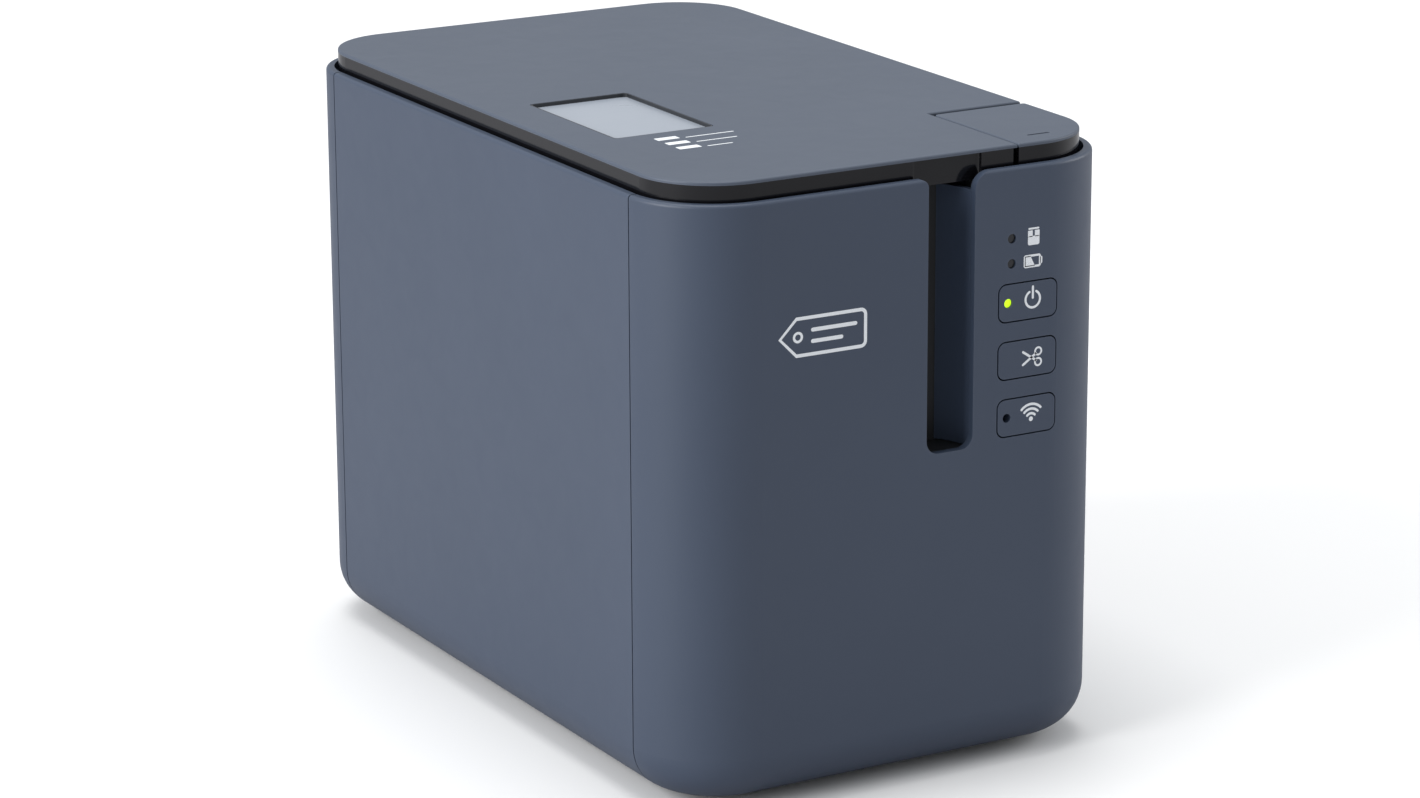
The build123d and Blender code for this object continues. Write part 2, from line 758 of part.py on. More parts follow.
# ================================================================ tape cassette
# Two moulded halves with a guide block at each end of the head recess, a roll of
# label tape, the supply and take-up ribbon spools and the feed roller.
split_z = cassette_bottom + cassette_height / 2
guide_rear_front = cassette_front + 76.0
guide_right = tape_x + 2.0
guide_front_rear = feed_y + 6.0
guide_front_right = head_face_x - 0.2
tape_roll_x, tape_roll_y = cassette_left + 26.0, cassette_front + 70.0
tape_roll_radius = 20.0
tape_core_radius = 10.0
tape_post_radius = 8.0
spool_fit = 0.1
supply_x, supply_y = cassette_left + 11.0, feed_y
supply_radius = 7.0
takeup_radius = 8.5
feed_pocket_gap = 0.6
cassette_corner = 3.0
roll_bottom = tape_bottom - 0.6
roll_top = tape_top + 0.6

with BuildPart() as cassette_blank:
    with BuildSketch(Plane.XY.offset(cassette_bottom)) as cassette_outline:
        with BuildLine():
            Polyline(
                (cassette_left, cassette_front),
                (guide_front_right, cassette_front),
                (guide_front_right, guide_front_rear),
                (cassette_right, guide_front_rear),
                (cassette_right, guide_rear_front),
                (guide_right, guide_rear_front),
                (guide_right, cassette_rear),
                (cassette_left, cassette_rear),
                close=True,
            )
        make_face()
        fillet(cassette_outline.vertices().group_by(Axis.X)[0], cassette_corner)
    extrude(amount=cassette_height)
    with BuildSketch(Plane.XY.offset(cassette_bottom + cassette_wall)):
        add(cassette_outline.sketch.moved(Location((0, 0, 0))))
        offset(amount=-cassette_wall, mode=Mode.REPLACE)
    extrude(amount=cassette_height - 2 * cassette_wall, mode=Mode.SUBTRACT)
    upright(tape_roll_x, tape_roll_y, (cassette_bottom, cassette_top), tape_post_radius)
    upright(feed_x, feed_y, (roll_bottom - 0.4, roll_top + 0.4), feed_radius + feed_pocket_gap, Mode.SUBTRACT)
    upright(supply_x, supply_y, (cassette_bottom, cassette_top), shaft_radius)
    upright(feed_x, feed_y, (cassette_bottom, roll_bottom - 0.4), shaft_radius)
    upright(spindle_x, spindle_y, (0, split_z), spindle_radius + 0.4, Mode.SUBTRACT)
    block(
        (tape_x - 0.7, tape_x + 0.7),
        (guide_rear_front - 1, guide_rear_front + cassette_wall + 1),
        (tape_bottom - 0.5, tape_top + 0.5),
        Mode.SUBTRACT,
    )

with BuildPart() as cassette_lower_case:
    add(cassette_blank.part)
    block(whole_width, (-case_depth, case_depth), (0, split_z), Mode.INTERSECT)
keep(cassette_lower_case, "cassette_lower_case")

with BuildPart() as cassette_upper_case:
    add(cassette_blank.part)
    block(whole_width, (-case_depth, case_depth), (split_z, overall_height), Mode.INTERSECT)
    chamfer(cassette_upper_case.faces().sort_by(Axis.Z)[-1].outer_wire().edges(), 0.6)
keep(cassette_upper_case, "cassette_upper_case")

with BuildPart() as cassette_label:
    block(
        (cassette_left + label_margin, cassette_left + label_margin + label_width),
        (cassette_front + label_margin, cassette_front + label_margin + label_length),
        (cassette_top, cassette_top + label_thickness),
    )
    fillet(cassette_label.edges().filter_by(Axis.Z), label_corner)
keep(cassette_label, "cassette_label")

with BuildPart() as tape_spool:
    upright(tape_roll_x, tape_roll_y, (roll_bottom, roll_top), tape_core_radius)
    upright(tape_roll_x, tape_roll_y, (tape_bottom, tape_top), tape_roll_radius)
    upright(tape_roll_x, tape_roll_y, (0, overall_height), tape_post_radius + spool_fit, Mode.SUBTRACT)
keep(tape_spool, "tape_spool")

with BuildPart() as ribbon_supply_spool:
    upright(supply_x, supply_y, (roll_bottom, roll_top), supply_radius / 2)
    upright(supply_x, supply_y, (tape_bottom, tape_top), supply_radius)
    upright(supply_x, supply_y, (0, overall_height), shaft_radius + spool_fit, Mode.SUBTRACT)
keep(ribbon_supply_spool, "ribbon_supply_spool")

with BuildPart() as ribbon_takeup_spool:
    upright(spindle_x, spindle_y, (roll_bottom, roll_top), takeup_radius / 2 + 0.4)
    upright(spindle_x, spindle_y, (tape_bottom, tape_top), takeup_radius)
    upright(spindle_x, spindle_y, (0, spindle_top + 0.3), spindle_radius, Mode.SUBTRACT)
keep(ribbon_takeup_spool, "ribbon_takeup_spool")

with BuildPart() as feed_roller:
    upright(feed_x, feed_y, (roll_bottom, roll_top), feed_radius)
    upright(feed_x, feed_y, (0, roll_bottom + 3), shaft_radius + spool_fit, Mode.SUBTRACT)
keep(feed_roller, "feed_roller")

# ================================================================ cutter
# Scissor cutter: fixed blade on a steel frame, moving blade that swings across
# the tape slot about a pin below it, turned by a toothed sector and a motor.
frame_rear = bay_front - bay_wall - 0.4
frame_front = frame_rear - frame_plate
fixed_rear = frame_front
fixed_front = fixed_rear - blade_thickness
moving_rear = fixed_front - 0.1
moving_front = moving_rear - blade_thickness
lever_front = moving_front - 2.4
sector_radius = gear_module * sector_teeth / 2
cutter_pinion_z = blade_pivot_z - sector_radius - gear_module * cutter_pinion_teeth / 2
blade_left = tape_x - 7.0
blade_edge = tape_x + 1.5
fixed_blade_right = tape_x + 8.0
sector_half_angle = 34.0
pivot_pin_radius = 2.0
blade_bottom = tape_bottom - 4.0
blade_top = tape_top + 3.0

with BuildPart() as cutter_frame:
    block(
        (blade_pivot_x - 16, blade_pivot_x + 10),
        (frame_front, frame_rear),
        (cutter_pinion_z - 9, tape_top + 5),
    )
    fillet(cutter_frame.edges().filter_by(Axis.Y), 2)
    block(
        (tape_x - slit_width / 2 - 2, tape_x + slit_width / 2),
        (frame_front - 1, frame_rear + 1),
        (tape_bottom - slit_margin, tape_top + slit_margin),
        Mode.SUBTRACT,
    )
    lengthwise(blade_pivot_x, (lever_front - 0.8, frame_front), blade_pivot_z, pivot_pin_radius)
    lengthwise(blade_pivot_x, (frame_front - 1, frame_rear + 1), cutter_pinion_z, 3.0, Mode.SUBTRACT)
keep(cutter_frame, "cutter_frame")

with BuildPart() as fixed_blade:
    block((tape_x + 0.3, fixed_blade_right), (fixed_front, fixed_rear), (blade_bottom, blade_top))
    chamfer(fixed_blade.edges().filter_by(Axis.Z).group_by(Axis.X)[0].sort_by(Axis.Y)[-1], 0.6)
keep(fixed_blade, "fixed_blade")

open_turn = Location((blade_pivot_x, 0, blade_pivot_z)) * Location((0, 0, 0), (0, -blade_swing, 0))
open_turn = open_turn * Location((-blade_pivot_x, 0, -blade_pivot_z))

with BuildPart() as moving_blade_closed:
    block((blade_left, blade_edge), (moving_front, moving_rear), (blade_bottom, blade_top))
    chamfer(moving_blade_closed.edges().filter_by(Axis.Z).group_by(Axis.X)[-1].sort_by(Axis.Y)[0], 0.6)

with BuildPart() as moving_blade:
    add(moving_blade_closed.part.moved(open_turn))
keep(moving_blade, "moving_blade")

with BuildPart() as blade_lever_closed:
    with BuildSketch(Plane.XZ.offset(-moving_front)):
        with Locations((blade_pivot_x, blade_pivot_z)):
            Circle(5)
        with Locations(((blade_left + blade_edge) / 2 - 1, (blade_pivot_z + blade_bottom) / 2 + 5)):
            Rectangle(blade_edge - blade_left - 2, blade_bottom - blade_pivot_z + 14)
    extrude(amount=moving_front - lever_front)
    with BuildSketch(Plane.XZ.offset(-moving_front)):
        gear_face(sector_teeth, (blade_pivot_x, blade_pivot_z), -90 - blade_swing)
        Polygon(
            (blade_pivot_x, blade_pivot_z + 4),
            (
                blade_pivot_x - 2 * sector_radius * math.sin(math.radians(sector_half_angle)),
                blade_pivot_z - 2 * sector_radius * math.cos(math.radians(sector_half_angle)),
            ),
            (
                blade_pivot_x + 2 * sector_radius * math.sin(math.radians(sector_half_angle)),
                blade_pivot_z - 2 * sector_radius * math.cos(math.radians(sector_half_angle)),
            ),
            align=None,
            mode=Mode.INTERSECT,
        )
    extrude(amount=moving_front - lever_front)
    lengthwise(
        blade_pivot_x,
        (lever_front - 1, moving_front + 1),
        blade_pivot_z,
        pivot_pin_radius + shaft_fit,
        Mode.SUBTRACT,
    )

with BuildPart() as blade_lever:
    add(blade_lever_closed.part.moved(open_turn))
keep(blade_lever, "blade_lever")

cutter_shaft_radius = 1.0
cutter_motor_front = frame_rear
with BuildPart() as cutter_motor:
    lengthwise(
        blade_pivot_x,
        (cutter_motor_front, cutter_motor_front + cutter_motor_length),
        cutter_pinion_z,
        cutter_motor_radius,
    )
    fillet(cutter_motor.edges().filter_by(GeomType.CIRCLE).sort_by(Axis.Y)[-1], 1.5)
    lengthwise(
        blade_pivot_x, (cutter_motor_front - 1, cutter_motor_front + 6), cutter_pinion_z,
        cutter_shaft_radius + shaft_fit, Mode.SUBTRACT,
    )
keep(cutter_motor, "cutter_motor")

with BuildPart() as cutter_pinion:
    with BuildSketch(Plane.XZ.offset(-moving_front)):
        gear_face(
            cutter_pinion_teeth,
            (blade_pivot_x, cutter_pinion_z),
            mating_turn(-90, sector_teeth, -90, cutter_pinion_teeth),
        )
    extrude(amount=moving_front - lever_front)
    lengthwise(blade_pivot_x, (lever_front, cutter_motor_front + 5), cutter_pinion_z, cutter_shaft_radius)
keep(cutter_pinion, "cutter_pinion")

# Label tape: printed strip from the roll, past the head and rollers to the cutter.
tape_roll_tangent = tape_roll_y + tape_roll_radius + 0.6
with BuildPart() as label_tape:
    with BuildSketch(Plane.XY.offset(tape_bottom)):
        with BuildLine():
            FilletPolyline(
                (tape_roll_x, tape_roll_tangent),
                (tape_x, tape_roll_tangent),
                (tape_x, moving_rear + 0.1),
                radius=1.5,
            )
        trace(line_width=tape_thickness)
    extrude(amount=tape_width)
keep(label_tape, "label_tape")

# Exit chute: black channel that closes the groove behind the front shell.
chute_rear = cheek_rear_y + 1.6
chute_left = groove_left - 1.6
chute_right = cheek_inner_x + cheek_thickness + 1.0
chute_top = deck_top
chute_front = inner_front_y + 0.1
with BuildPart() as tape_exit_chute:
    block((chute_left, chute_right), (cheek_rear_y + 0.1, chute_rear), (groove_bottom - 2, chute_top))
    block((chute_left, groove_left), (chute_front, chute_rear), (groove_bottom - 2, chute_top))
    block((chute_left, groove_right), (chute_front, chute_rear), (groove_bottom - 2, groove_bottom - 0.2))
    block(
        (tape_x - slit_width, tape_x + slit_width / 2),
        (cheek_rear_y - 1, chute_rear + 1),
        (tape_bottom - slit_margin, tape_top + slit_margin),
        Mode.SUBTRACT,
    )
keep(tape_exit_chute, "tape_exit_chute")

# ================================================================ lid
# Matt top plate on a glossy rim moulding with hinge ears; the front right corner
# is cut away for the cover-open button.
plate_cut_x = open_left - open_gap_left
plate_cut_y = open_rear + open_gap_rear
rim_cut_x = open_left - open_rim_gap

with BuildPart() as lid_blank:
    with BuildSketch(Plane.XY.offset(rim_bottom)):
        RectangleRounded(2 * lid_side_x, 2 * lid_rear_y, lid_radius)
    extrude(amount=rim_depth)

with BuildPart() as lid_top_plate:
    add(lid_blank.part)
    block(whole_width, (-case_depth, case_depth), (plate_bottom, lid_top + 1), Mode.INTERSECT)
    block((plate_cut_x, case_width), (-case_depth, plate_cut_y), (0, case_depth), Mode.SUBTRACT)
    fillet(lid_top_plate.faces().sort_by(Axis.Z)[-1].edges(), lid_edge_radius)
    with BuildSketch(Plane.XY.offset(plate_bottom - 0.1)):
        with Locations((window_x, window_y)):
            RectangleRounded(window_width, window_length, 1.0)
    extrude(amount=lid_plate_thickness + 1, mode=Mode.SUBTRACT)
keep(lid_top_plate, "lid_top_plate")

window_top = lid_top - window_sink
with BuildPart() as lid_window:
    with BuildSketch(Plane.XY.offset(window_top - window_thickness)):
        with Locations((window_x, window_y)):
            RectangleRounded(window_width - 2 * window_gap, window_length - 2 * window_gap, 0.9)
    extrude(amount=window_thickness)
keep(lid_window, "lid_window")

rib_height = 3.0
rib_thickness = 1.4
rib_end = lid_side_x - 1.0
rib_range = (plate_bottom - rib_height, plate_bottom)
rim_height = (rim_bottom, plate_bottom)
spine_right = -0.6
ear_link_length = 5.5
window_seat = window_top - window_thickness
catch_left = latch_x - 5.0
catch_thickness = 1.2
catch_bottom = latch_z + 4.5
barb_height = 1.5
barb_reach = 2.0
with BuildPart() as lid_rim:
    add(lid_blank.part)
    block(whole_width, (-case_depth, case_depth), (plate_bottom, case_depth), Mode.SUBTRACT)
    with BuildSketch(Plane.XY.offset(rim_bottom)):
        RectangleRounded(2 * (lid_side_x - rim_wall), 2 * (lid_rear_y - rim_wall), lid_radius - rim_wall)
    extrude(amount=rim_depth - lid_plate_thickness, mode=Mode.SUBTRACT)
    block((rim_cut_x, case_width), (-case_depth, plate_cut_y), (0, case_depth), Mode.SUBTRACT)
    block((rim_cut_x - rim_wall, rim_cut_x), (lid_front_y + 0.5, plate_cut_y + rim_wall), rim_height)
    block((rim_cut_x - 0.1, lid_side_x - 0.5), (plate_cut_y, plate_cut_y + rim_wall), rim_height)
    window_half_x = window_width / 2
    window_half_y = window_length / 2
    block(
        (window_x - window_half_x - 2, window_x + window_half_x + 2),
        (window_y - window_half_y - 2, window_y + window_half_y + 2),
        (window_seat - window_ledge, plate_bottom),
    )
    block(
        (window_x - window_half_x, window_x + window_half_x),
        (window_y - window_half_y, window_y + window_half_y),
        (window_seat, case_depth),
        Mode.SUBTRACT,
    )
    block(
        (window_x - window_half_x + window_ledge, window_x + window_half_x - window_ledge),
        (window_y - window_half_y + window_ledge, window_y + window_half_y - window_ledge),
        (0, case_depth),
        Mode.SUBTRACT,
    )
    for rib_y in (window_y - window_half_y - 2, window_y + window_half_y + 0.6):
        block((-rib_end, spine_right), (rib_y, rib_y + rib_thickness), rib_range)
    for rib_y in (hinge_y - 70.0, hinge_y - 38.0):
        block((-rib_end, rib_end), (rib_y, rib_y + rib_thickness), rib_range)
    block((spine_right - rib_thickness, spine_right), (lid_front_y + 1, rib_y), rib_range)
    block(
        (rim_cut_x - rim_wall, latch_x + 4.0),
        (latch_front - 1.5, latch_rear + 1.5),
        (plate_bottom - rib_thickness, plate_bottom),
    )
    with BuildSketch(Plane.XY.offset(rim_bottom)):
        with Locations(((scoop_left + scoop_right) / 2, lid_front_y)):
            RectangleRounded(scoop_right - scoop_left, 2 * scoop_depth, scoop_radius)
    extrude(amount=plate_bottom - rim_bottom, mode=Mode.SUBTRACT)
    for side in (-1, 1):
        ear = sorted((side * (hinge_ear_x - hinge_ear_width / 2), side * (hinge_ear_x + hinge_ear_width / 2)))
        block(
            ear, (hinge_y - hinge_knuckle_radius, hinge_y + hinge_knuckle_radius), (hinge_z, plate_bottom)
        )
        crosswise(ear, hinge_y, hinge_z, hinge_knuckle_radius - 0.1)
        block(
            sorted((side * hinge_ear_x, side * (hinge_ear_x + ear_link_length))),
            (hinge_y + 1.0, hinge_y + 1.0 + rib_thickness),
            (hinge_z, plate_bottom),
        )
        pin = sorted((side * (hinge_bracket_x - hinge_bracket_width), side * hinge_pin_end))
        crosswise(pin, hinge_y, hinge_z, hinge_pin_radius, Mode.SUBTRACT)
keep(lid_rim, "lid_rim")

with BuildPart() as hinge_pins:
    for side in (-1, 1):
        pin = sorted((side * (hinge_bracket_x - hinge_bracket_width / 2 - 0.6), side * hinge_pin_end))
        crosswise(pin, hinge_y, hinge_z, hinge_pin_radius)
keep(hinge_pins, "hinge_pins")

with BuildPart() as lid_catch:
    block(
        (catch_left, catch_left + catch_thickness),
        (latch_front + 0.5, latch_rear - 0.5),
        (catch_bottom, plate_bottom - rib_thickness),
    )
    block(
        (catch_left, catch_left + catch_thickness + barb_reach),
        (latch_front + 0.5, latch_rear - 0.5),
        (catch_bottom, catch_bottom + barb_height),
    )
    chamfer(lid_catch.edges().filter_by(Axis.Y).group_by(Axis.X)[-1].sort_by(Axis.Z)[0], 1.0)
keep(lid_catch, "lid_catch")

# Latch hook: rocker that leans off the lid's catch when the button is pressed.
hook_left = catch_left + catch_thickness + barb_reach + 0.3
nose_bottom = catch_bottom + barb_height + 0.3
with BuildPart() as latch_hook:
    block((latch_x - 1.2, latch_x + 1.4), (latch_front, latch_rear), (latch_z, nose_bottom + 2))
    block((hook_left, latch_x), (latch_front, latch_rear), (nose_bottom, nose_bottom + 2))
    block((latch_x, latch_x + hook_arm + 1.5), (latch_front, latch_rear), (latch_z - 1, latch_z + 1))
    lengthwise(latch_x, (latch_front, latch_rear), latch_z, 2.4)
    lengthwise(
        latch_x,
        (latch_front - latch_gap - lug_thickness, latch_rear + latch_gap + lug_thickness),
        latch_z,
        latch_pin_radius,
    )
keep(latch_hook, "latch_hook")

# Cover-open button: hollow corner on a spring, with a tail over the latch hook and
# a matt cap that continues the lid's top plate.
open_bottom = lid_top - open_height
tail_half = 1.6
boss_bottom = well_top + 9.0
spring_boss_radius = 4.0
foot_gap = 0.7
hook_arm_half = 1.0
with BuildPart() as button_blank:
    with BuildSketch(Plane.XY.offset(open_bottom)):
        RectangleRounded(2 * lid_side_x, 2 * lid_rear_y, lid_radius)
        with Locations(((open_left + case_width) / 2, (open_rear - case_depth) / 2)):
            Rectangle(case_width - open_left, case_depth + open_rear, mode=Mode.INTERSECT)
    extrude(amount=open_height)
    fillet(button_blank.edges().filter_by(Axis.Z).group_by(Axis.Y)[-1], 1.0)
    fillet(button_blank.faces().sort_by(Axis.Z)[-1].edges(), lid_edge_radius)
    offset(amount=-open_wall, openings=button_blank.faces().sort_by(Axis.Z)[0])

with BuildPart() as cover_button_cap:
    add(button_blank.part)
    block((0, case_width), (-case_depth, 0), (plate_bottom, lid_top + 1), Mode.INTERSECT)
    with BuildSketch(Plane.XY.offset(lid_top - bar_sink)):
        with Locations((bar_x, bar_y)):
            SlotOverall(bar_width, bar_depth)
    extrude(amount=1, mode=Mode.SUBTRACT)
keep(cover_button_cap, "cover_button_cap")

with BuildPart() as cover_open_button:
    add(button_blank.part)
    block((0, case_width), (-case_depth, 0), (0, plate_bottom), Mode.INTERSECT)
    upright(spring_x, spring_y, (boss_bottom, lid_top - open_wall), spring_boss_radius)
    block(
        (tail_x - tail_half_width, tail_x + tail_half_width),
        (open_rear - open_wall, latch_rear - 1),
        (open_bottom, open_bottom + open_wall),
    )
    block(
        (tail_x - tail_half, tail_x + tail_half),
        ((latch_front + latch_rear) / 2 - 1.5, (latch_front + latch_rear) / 2 + 1.5),
        (latch_z + hook_arm_half + foot_gap, open_bottom + 1),
    )
keep(cover_open_button, "cover_open_button")

spring_coil_radius = 3.2
spring_wire = 0.35
spring_turns = 6
spring_bottom = well_top + spring_wire + 0.1
spring_length = boss_bottom - well_top - 2 * spring_wire - 0.2
with BuildPart() as cover_button_spring:
    with BuildLine():
        spring_path = Helix(
            spring_length / spring_turns,
            spring_length,
            spring_coil_radius,
            center=(spring_x, spring_y, spring_bottom),
        )
    with BuildSketch(Plane(origin=spring_path @ 0, z_dir=spring_path % 0)):
        Circle(spring_wire)
    sweep()
keep(cover_button_spring, "cover_button_spring")

# ================================================================ front buttons
pipe_front = front_y + pipe_sink
led_rear = switch_board_y - 1.4
flange_rear = inner_front_y + button_flange_gap + button_flange_thickness
stem_radius = 2.0
plunger_radius = 1.5
switch_x = button_x + 2.0
plunger_front = switch_board_y - 4.2
switch_front = switch_board_y - 3.6
board_margin = 2.0
board_corner = 1.5
switch_half = 3.0
lamp_half_width = 1.6
lamp_half_height = 0.9
for name, centre_z in zip(button_names, button_centres):
    with BuildPart() as button:
        with BuildSketch(Plane.XZ.offset(-front_y)):
            with Locations((button_x, centre_z)):
                RectangleRounded(button_width, button_height, button_radius)
        extrude(amount=-(flange_rear - front_y))
        with BuildSketch(Plane.XZ.offset(-(inner_front_y + button_flange_gap))):
            with Locations((button_x, centre_z)):
                RectangleRounded(
                    button_width + 2 * button_flange, button_height + 2 * button_flange, button_radius
                )
        extrude(amount=-button_flange_thickness)
        lengthwise(switch_x, (flange_rear - 0.5, plunger_front), centre_z, stem_radius)
        lengthwise(switch_x, (flange_rear, switch_front + 0.1), centre_z, plunger_radius)
        if name != "cut":
            lengthwise(button_led_x, (front_y - 1, flange_rear + 1), centre_z, pipe_radius, Mode.SUBTRACT)
    keep(button, f"{name}_button")
    if name == "power":
        with BuildPart() as power_light_pipe:
            lengthwise(button_led_x, (pipe_front, flange_rear + 0.6), centre_z, pipe_radius)
        keep(power_light_pipe, "power_light_pipe")

with BuildPart() as status_light_pipes:
    for lamp_z in status_led_z:
        lengthwise(status_led_x, (pipe_front, led_rear - 0.3), lamp_z, pipe_radius)
keep(status_light_pipes, "status_light_pipes")

with BuildPart() as switch_board:
    block(
        (board_post_x[0] - board_margin, board_post_x[1] + board_margin),
        (switch_board_y, switch_board_y + board_thickness),
        (board_post_z[0] - board_margin, board_post_z[1] + board_margin),
    )
    fillet(switch_board.edges().filter_by(Axis.Y), board_corner)
keep(switch_board, "switch_board")

with BuildPart() as tact_switches:
    for centre_z in button_centres:
        block(
            (switch_x - switch_half, switch_x + switch_half),
            (switch_front, switch_board_y),
            (centre_z - switch_half, centre_z + switch_half),
        )
        lengthwise(
            switch_x,
            (switch_front - 1, switch_front + 1.2),
            centre_z,
            plunger_radius + 0.2,
            Mode.SUBTRACT,
        )
keep(tact_switches, "tact_switches")

lamp_points = [(status_led_x, z) for z in status_led_z]
lamp_points += [(button_led_x, button_centres[0]), (button_led_x, button_centres[2])]
with BuildPart() as indicator_lamps:
    for lamp_x, lamp_z in lamp_points:
        block(
            (lamp_x - lamp_half_width, lamp_x + lamp_half_width),
            (led_rear, switch_board_y),
            (lamp_z - lamp_half_height, lamp_z + lamp_half_height),
        )
keep(indicator_lamps, "indicator_lamps")

# ================================================================ main board
# Board on the tray's posts, its sockets reaching into the rear shell's openings.
board_half = inner_x - 10.0
board_corner_radius = 6.0
socket_front = rear_y - socket_depth
socket_face = rear_y - 0.5
dc_bore = 3.2
dc_pin_radius = 1.0
dc_bore_depth = 10.0
usb_shell = 1.4
usb_tongue = 2.8
plug_depth = 12.0
plug_half = 4.9
plug_floor = 2.0
plug_height = 7.0
latch_half = 3.0
latch_height = 2.5

with BuildPart() as main_board:
    block((-board_half, board_half), (board_front, board_rear), (board_z, socket_z))
    fillet(main_board.edges().filter_by(Axis.Z), board_corner_radius)
    for side in (-1, 1):
        upright(side * pillar_x, pillar_rear_y, (0, case_top), pillar_radius + 0.5, Mode.SUBTRACT)
keep(main_board, "main_board")


def socket_body(centre_x, size):
    """Outer block of a socket that stands on the board and reaches the rear face."""
    block(
        (centre_x - size[0] / 2, centre_x + size[0] / 2),
        (socket_front, socket_face),
        (socket_z, socket_z + size[1]),
    )


with BuildPart() as dc_inlet:
    socket_body(dc_x, dc_size)
    dc_z = socket_z + dc_size[1] / 2
    lengthwise(dc_x, (rear_y - dc_bore_depth, rear_y), dc_z, dc_bore, Mode.SUBTRACT)
    lengthwise(dc_x, (rear_y - dc_bore_depth - 1, rear_y - 3), dc_z, dc_pin_radius)
keep(dc_inlet, "dc_inlet")

with BuildPart() as usb_socket:
    socket_body(usb_x, usb_size)
    usb_half = usb_size[0] / 2 - usb_shell
    usb_z = (socket_z, socket_z + usb_size[1])
    block(
        (usb_x - usb_half, usb_x + usb_half),
        (rear_y - dc_bore_depth, rear_y),
        (usb_z[0] + usb_shell, usb_z[1] - usb_shell),
        Mode.SUBTRACT,
    )
    block(
        (usb_x - usb_tongue, usb_x + usb_tongue),
        (rear_y - dc_bore_depth - 0.5, rear_y - 2),
        (usb_z[0] + usb_shell + 2.6, usb_z[1] - usb_shell - 2.6),
    )
keep(usb_socket, "usb_socket")

with BuildPart() as serial_socket:
    socket_body(serial_x, serial_size)
    plug_bottom = socket_z + plug_floor
    plug_top = plug_bottom + plug_height
    block(
        (serial_x - plug_half, serial_x + plug_half),
        (rear_y - plug_depth, rear_y),
        (plug_bottom, plug_top),
        Mode.SUBTRACT,
    )
    block(
        (serial_x - latch_half, serial_x + latch_half),
        (rear_y - plug_depth, rear_y),
        (plug_top - 0.5, plug_top - 0.5 + latch_height),
        Mode.SUBTRACT,
    )
keep(serial_socket, "serial_socket")

# Radio module: small board with a screening can, near the right side.
module_x = (14.0, 32.0)
module_y = (board_rear - 53.4, board_rear - 31.4)
can_inset = 2.0
with BuildPart() as wireless_module:
    block(module_x, module_y, (socket_z, socket_z + 1.0))
    block(
        (module_x[0] + can_inset, module_x[1] - can_inset),
        (module_y[0] + 2 * can_inset, module_y[1] - can_inset),
        (socket_z + 1.0, socket_z + 3.0),
    )
keep(wireless_module, "wireless_module")

# Loose parts on the board: processor, memory, three capacitors and an inductor.
processor_front = board_front + 34.0
capacitor_x = -28.0
capacitor_radius = 4.5
capacitor_height = 12.0
capacitor_rear = board_rear - 33.4
capacitor_pitch = 14.0
with BuildPart() as board_components:
    block((-10, 6), (processor_front, processor_front + 16), (socket_z, socket_z + 1.6))
    block((-26, -16), (processor_front + 6, processor_front + 14), (socket_z, socket_z + 1.2))
    for index in range(3):
        upright(
            capacitor_x,
            capacitor_rear - index * capacitor_pitch,
            (socket_z, socket_z + capacitor_height),
            capacitor_radius,
        )
    block((-16, -4), (module_y[0] + 4, module_y[0] + 16), (socket_z, socket_z + 7))
keep(board_components, "board_components")
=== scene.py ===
import math
import bmesh
import bpy
from mathutils import Matrix, Vector


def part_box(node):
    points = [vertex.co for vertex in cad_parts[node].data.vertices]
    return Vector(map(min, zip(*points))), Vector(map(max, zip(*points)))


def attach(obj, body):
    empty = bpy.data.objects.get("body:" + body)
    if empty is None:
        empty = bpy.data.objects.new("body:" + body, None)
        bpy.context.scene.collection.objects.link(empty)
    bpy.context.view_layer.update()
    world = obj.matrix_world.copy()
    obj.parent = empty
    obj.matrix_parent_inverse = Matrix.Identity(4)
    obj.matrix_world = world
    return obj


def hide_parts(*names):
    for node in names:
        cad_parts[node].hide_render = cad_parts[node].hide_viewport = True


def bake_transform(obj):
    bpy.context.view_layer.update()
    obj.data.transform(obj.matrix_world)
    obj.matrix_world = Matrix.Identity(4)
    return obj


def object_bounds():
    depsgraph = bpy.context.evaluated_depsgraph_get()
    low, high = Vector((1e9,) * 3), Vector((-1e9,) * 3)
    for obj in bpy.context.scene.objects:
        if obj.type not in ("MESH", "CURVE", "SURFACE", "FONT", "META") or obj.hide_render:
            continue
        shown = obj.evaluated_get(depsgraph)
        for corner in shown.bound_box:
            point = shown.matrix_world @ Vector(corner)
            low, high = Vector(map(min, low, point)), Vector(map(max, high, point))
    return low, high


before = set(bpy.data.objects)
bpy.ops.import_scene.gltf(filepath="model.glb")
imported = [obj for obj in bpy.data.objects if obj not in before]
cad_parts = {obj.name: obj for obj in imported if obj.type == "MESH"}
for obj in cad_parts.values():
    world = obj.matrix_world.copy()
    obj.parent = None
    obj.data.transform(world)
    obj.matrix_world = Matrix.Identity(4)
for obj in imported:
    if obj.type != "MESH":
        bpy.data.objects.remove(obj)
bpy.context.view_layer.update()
mm = 0.001

# ------------------------------------------------------------------ studio
# A white sweep, one broad soft lamp from the left, one overhead and a weak one
# from the right, as for a catalogue picture of a dark moulded case.
case_low, case_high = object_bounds()
middle = Vector([(a + b) / 2 for a, b in zip(case_low, case_high)])

scene = bpy.context.scene
scene.view_settings.view_transform = "Standard"
scene.view_settings.look = "None"

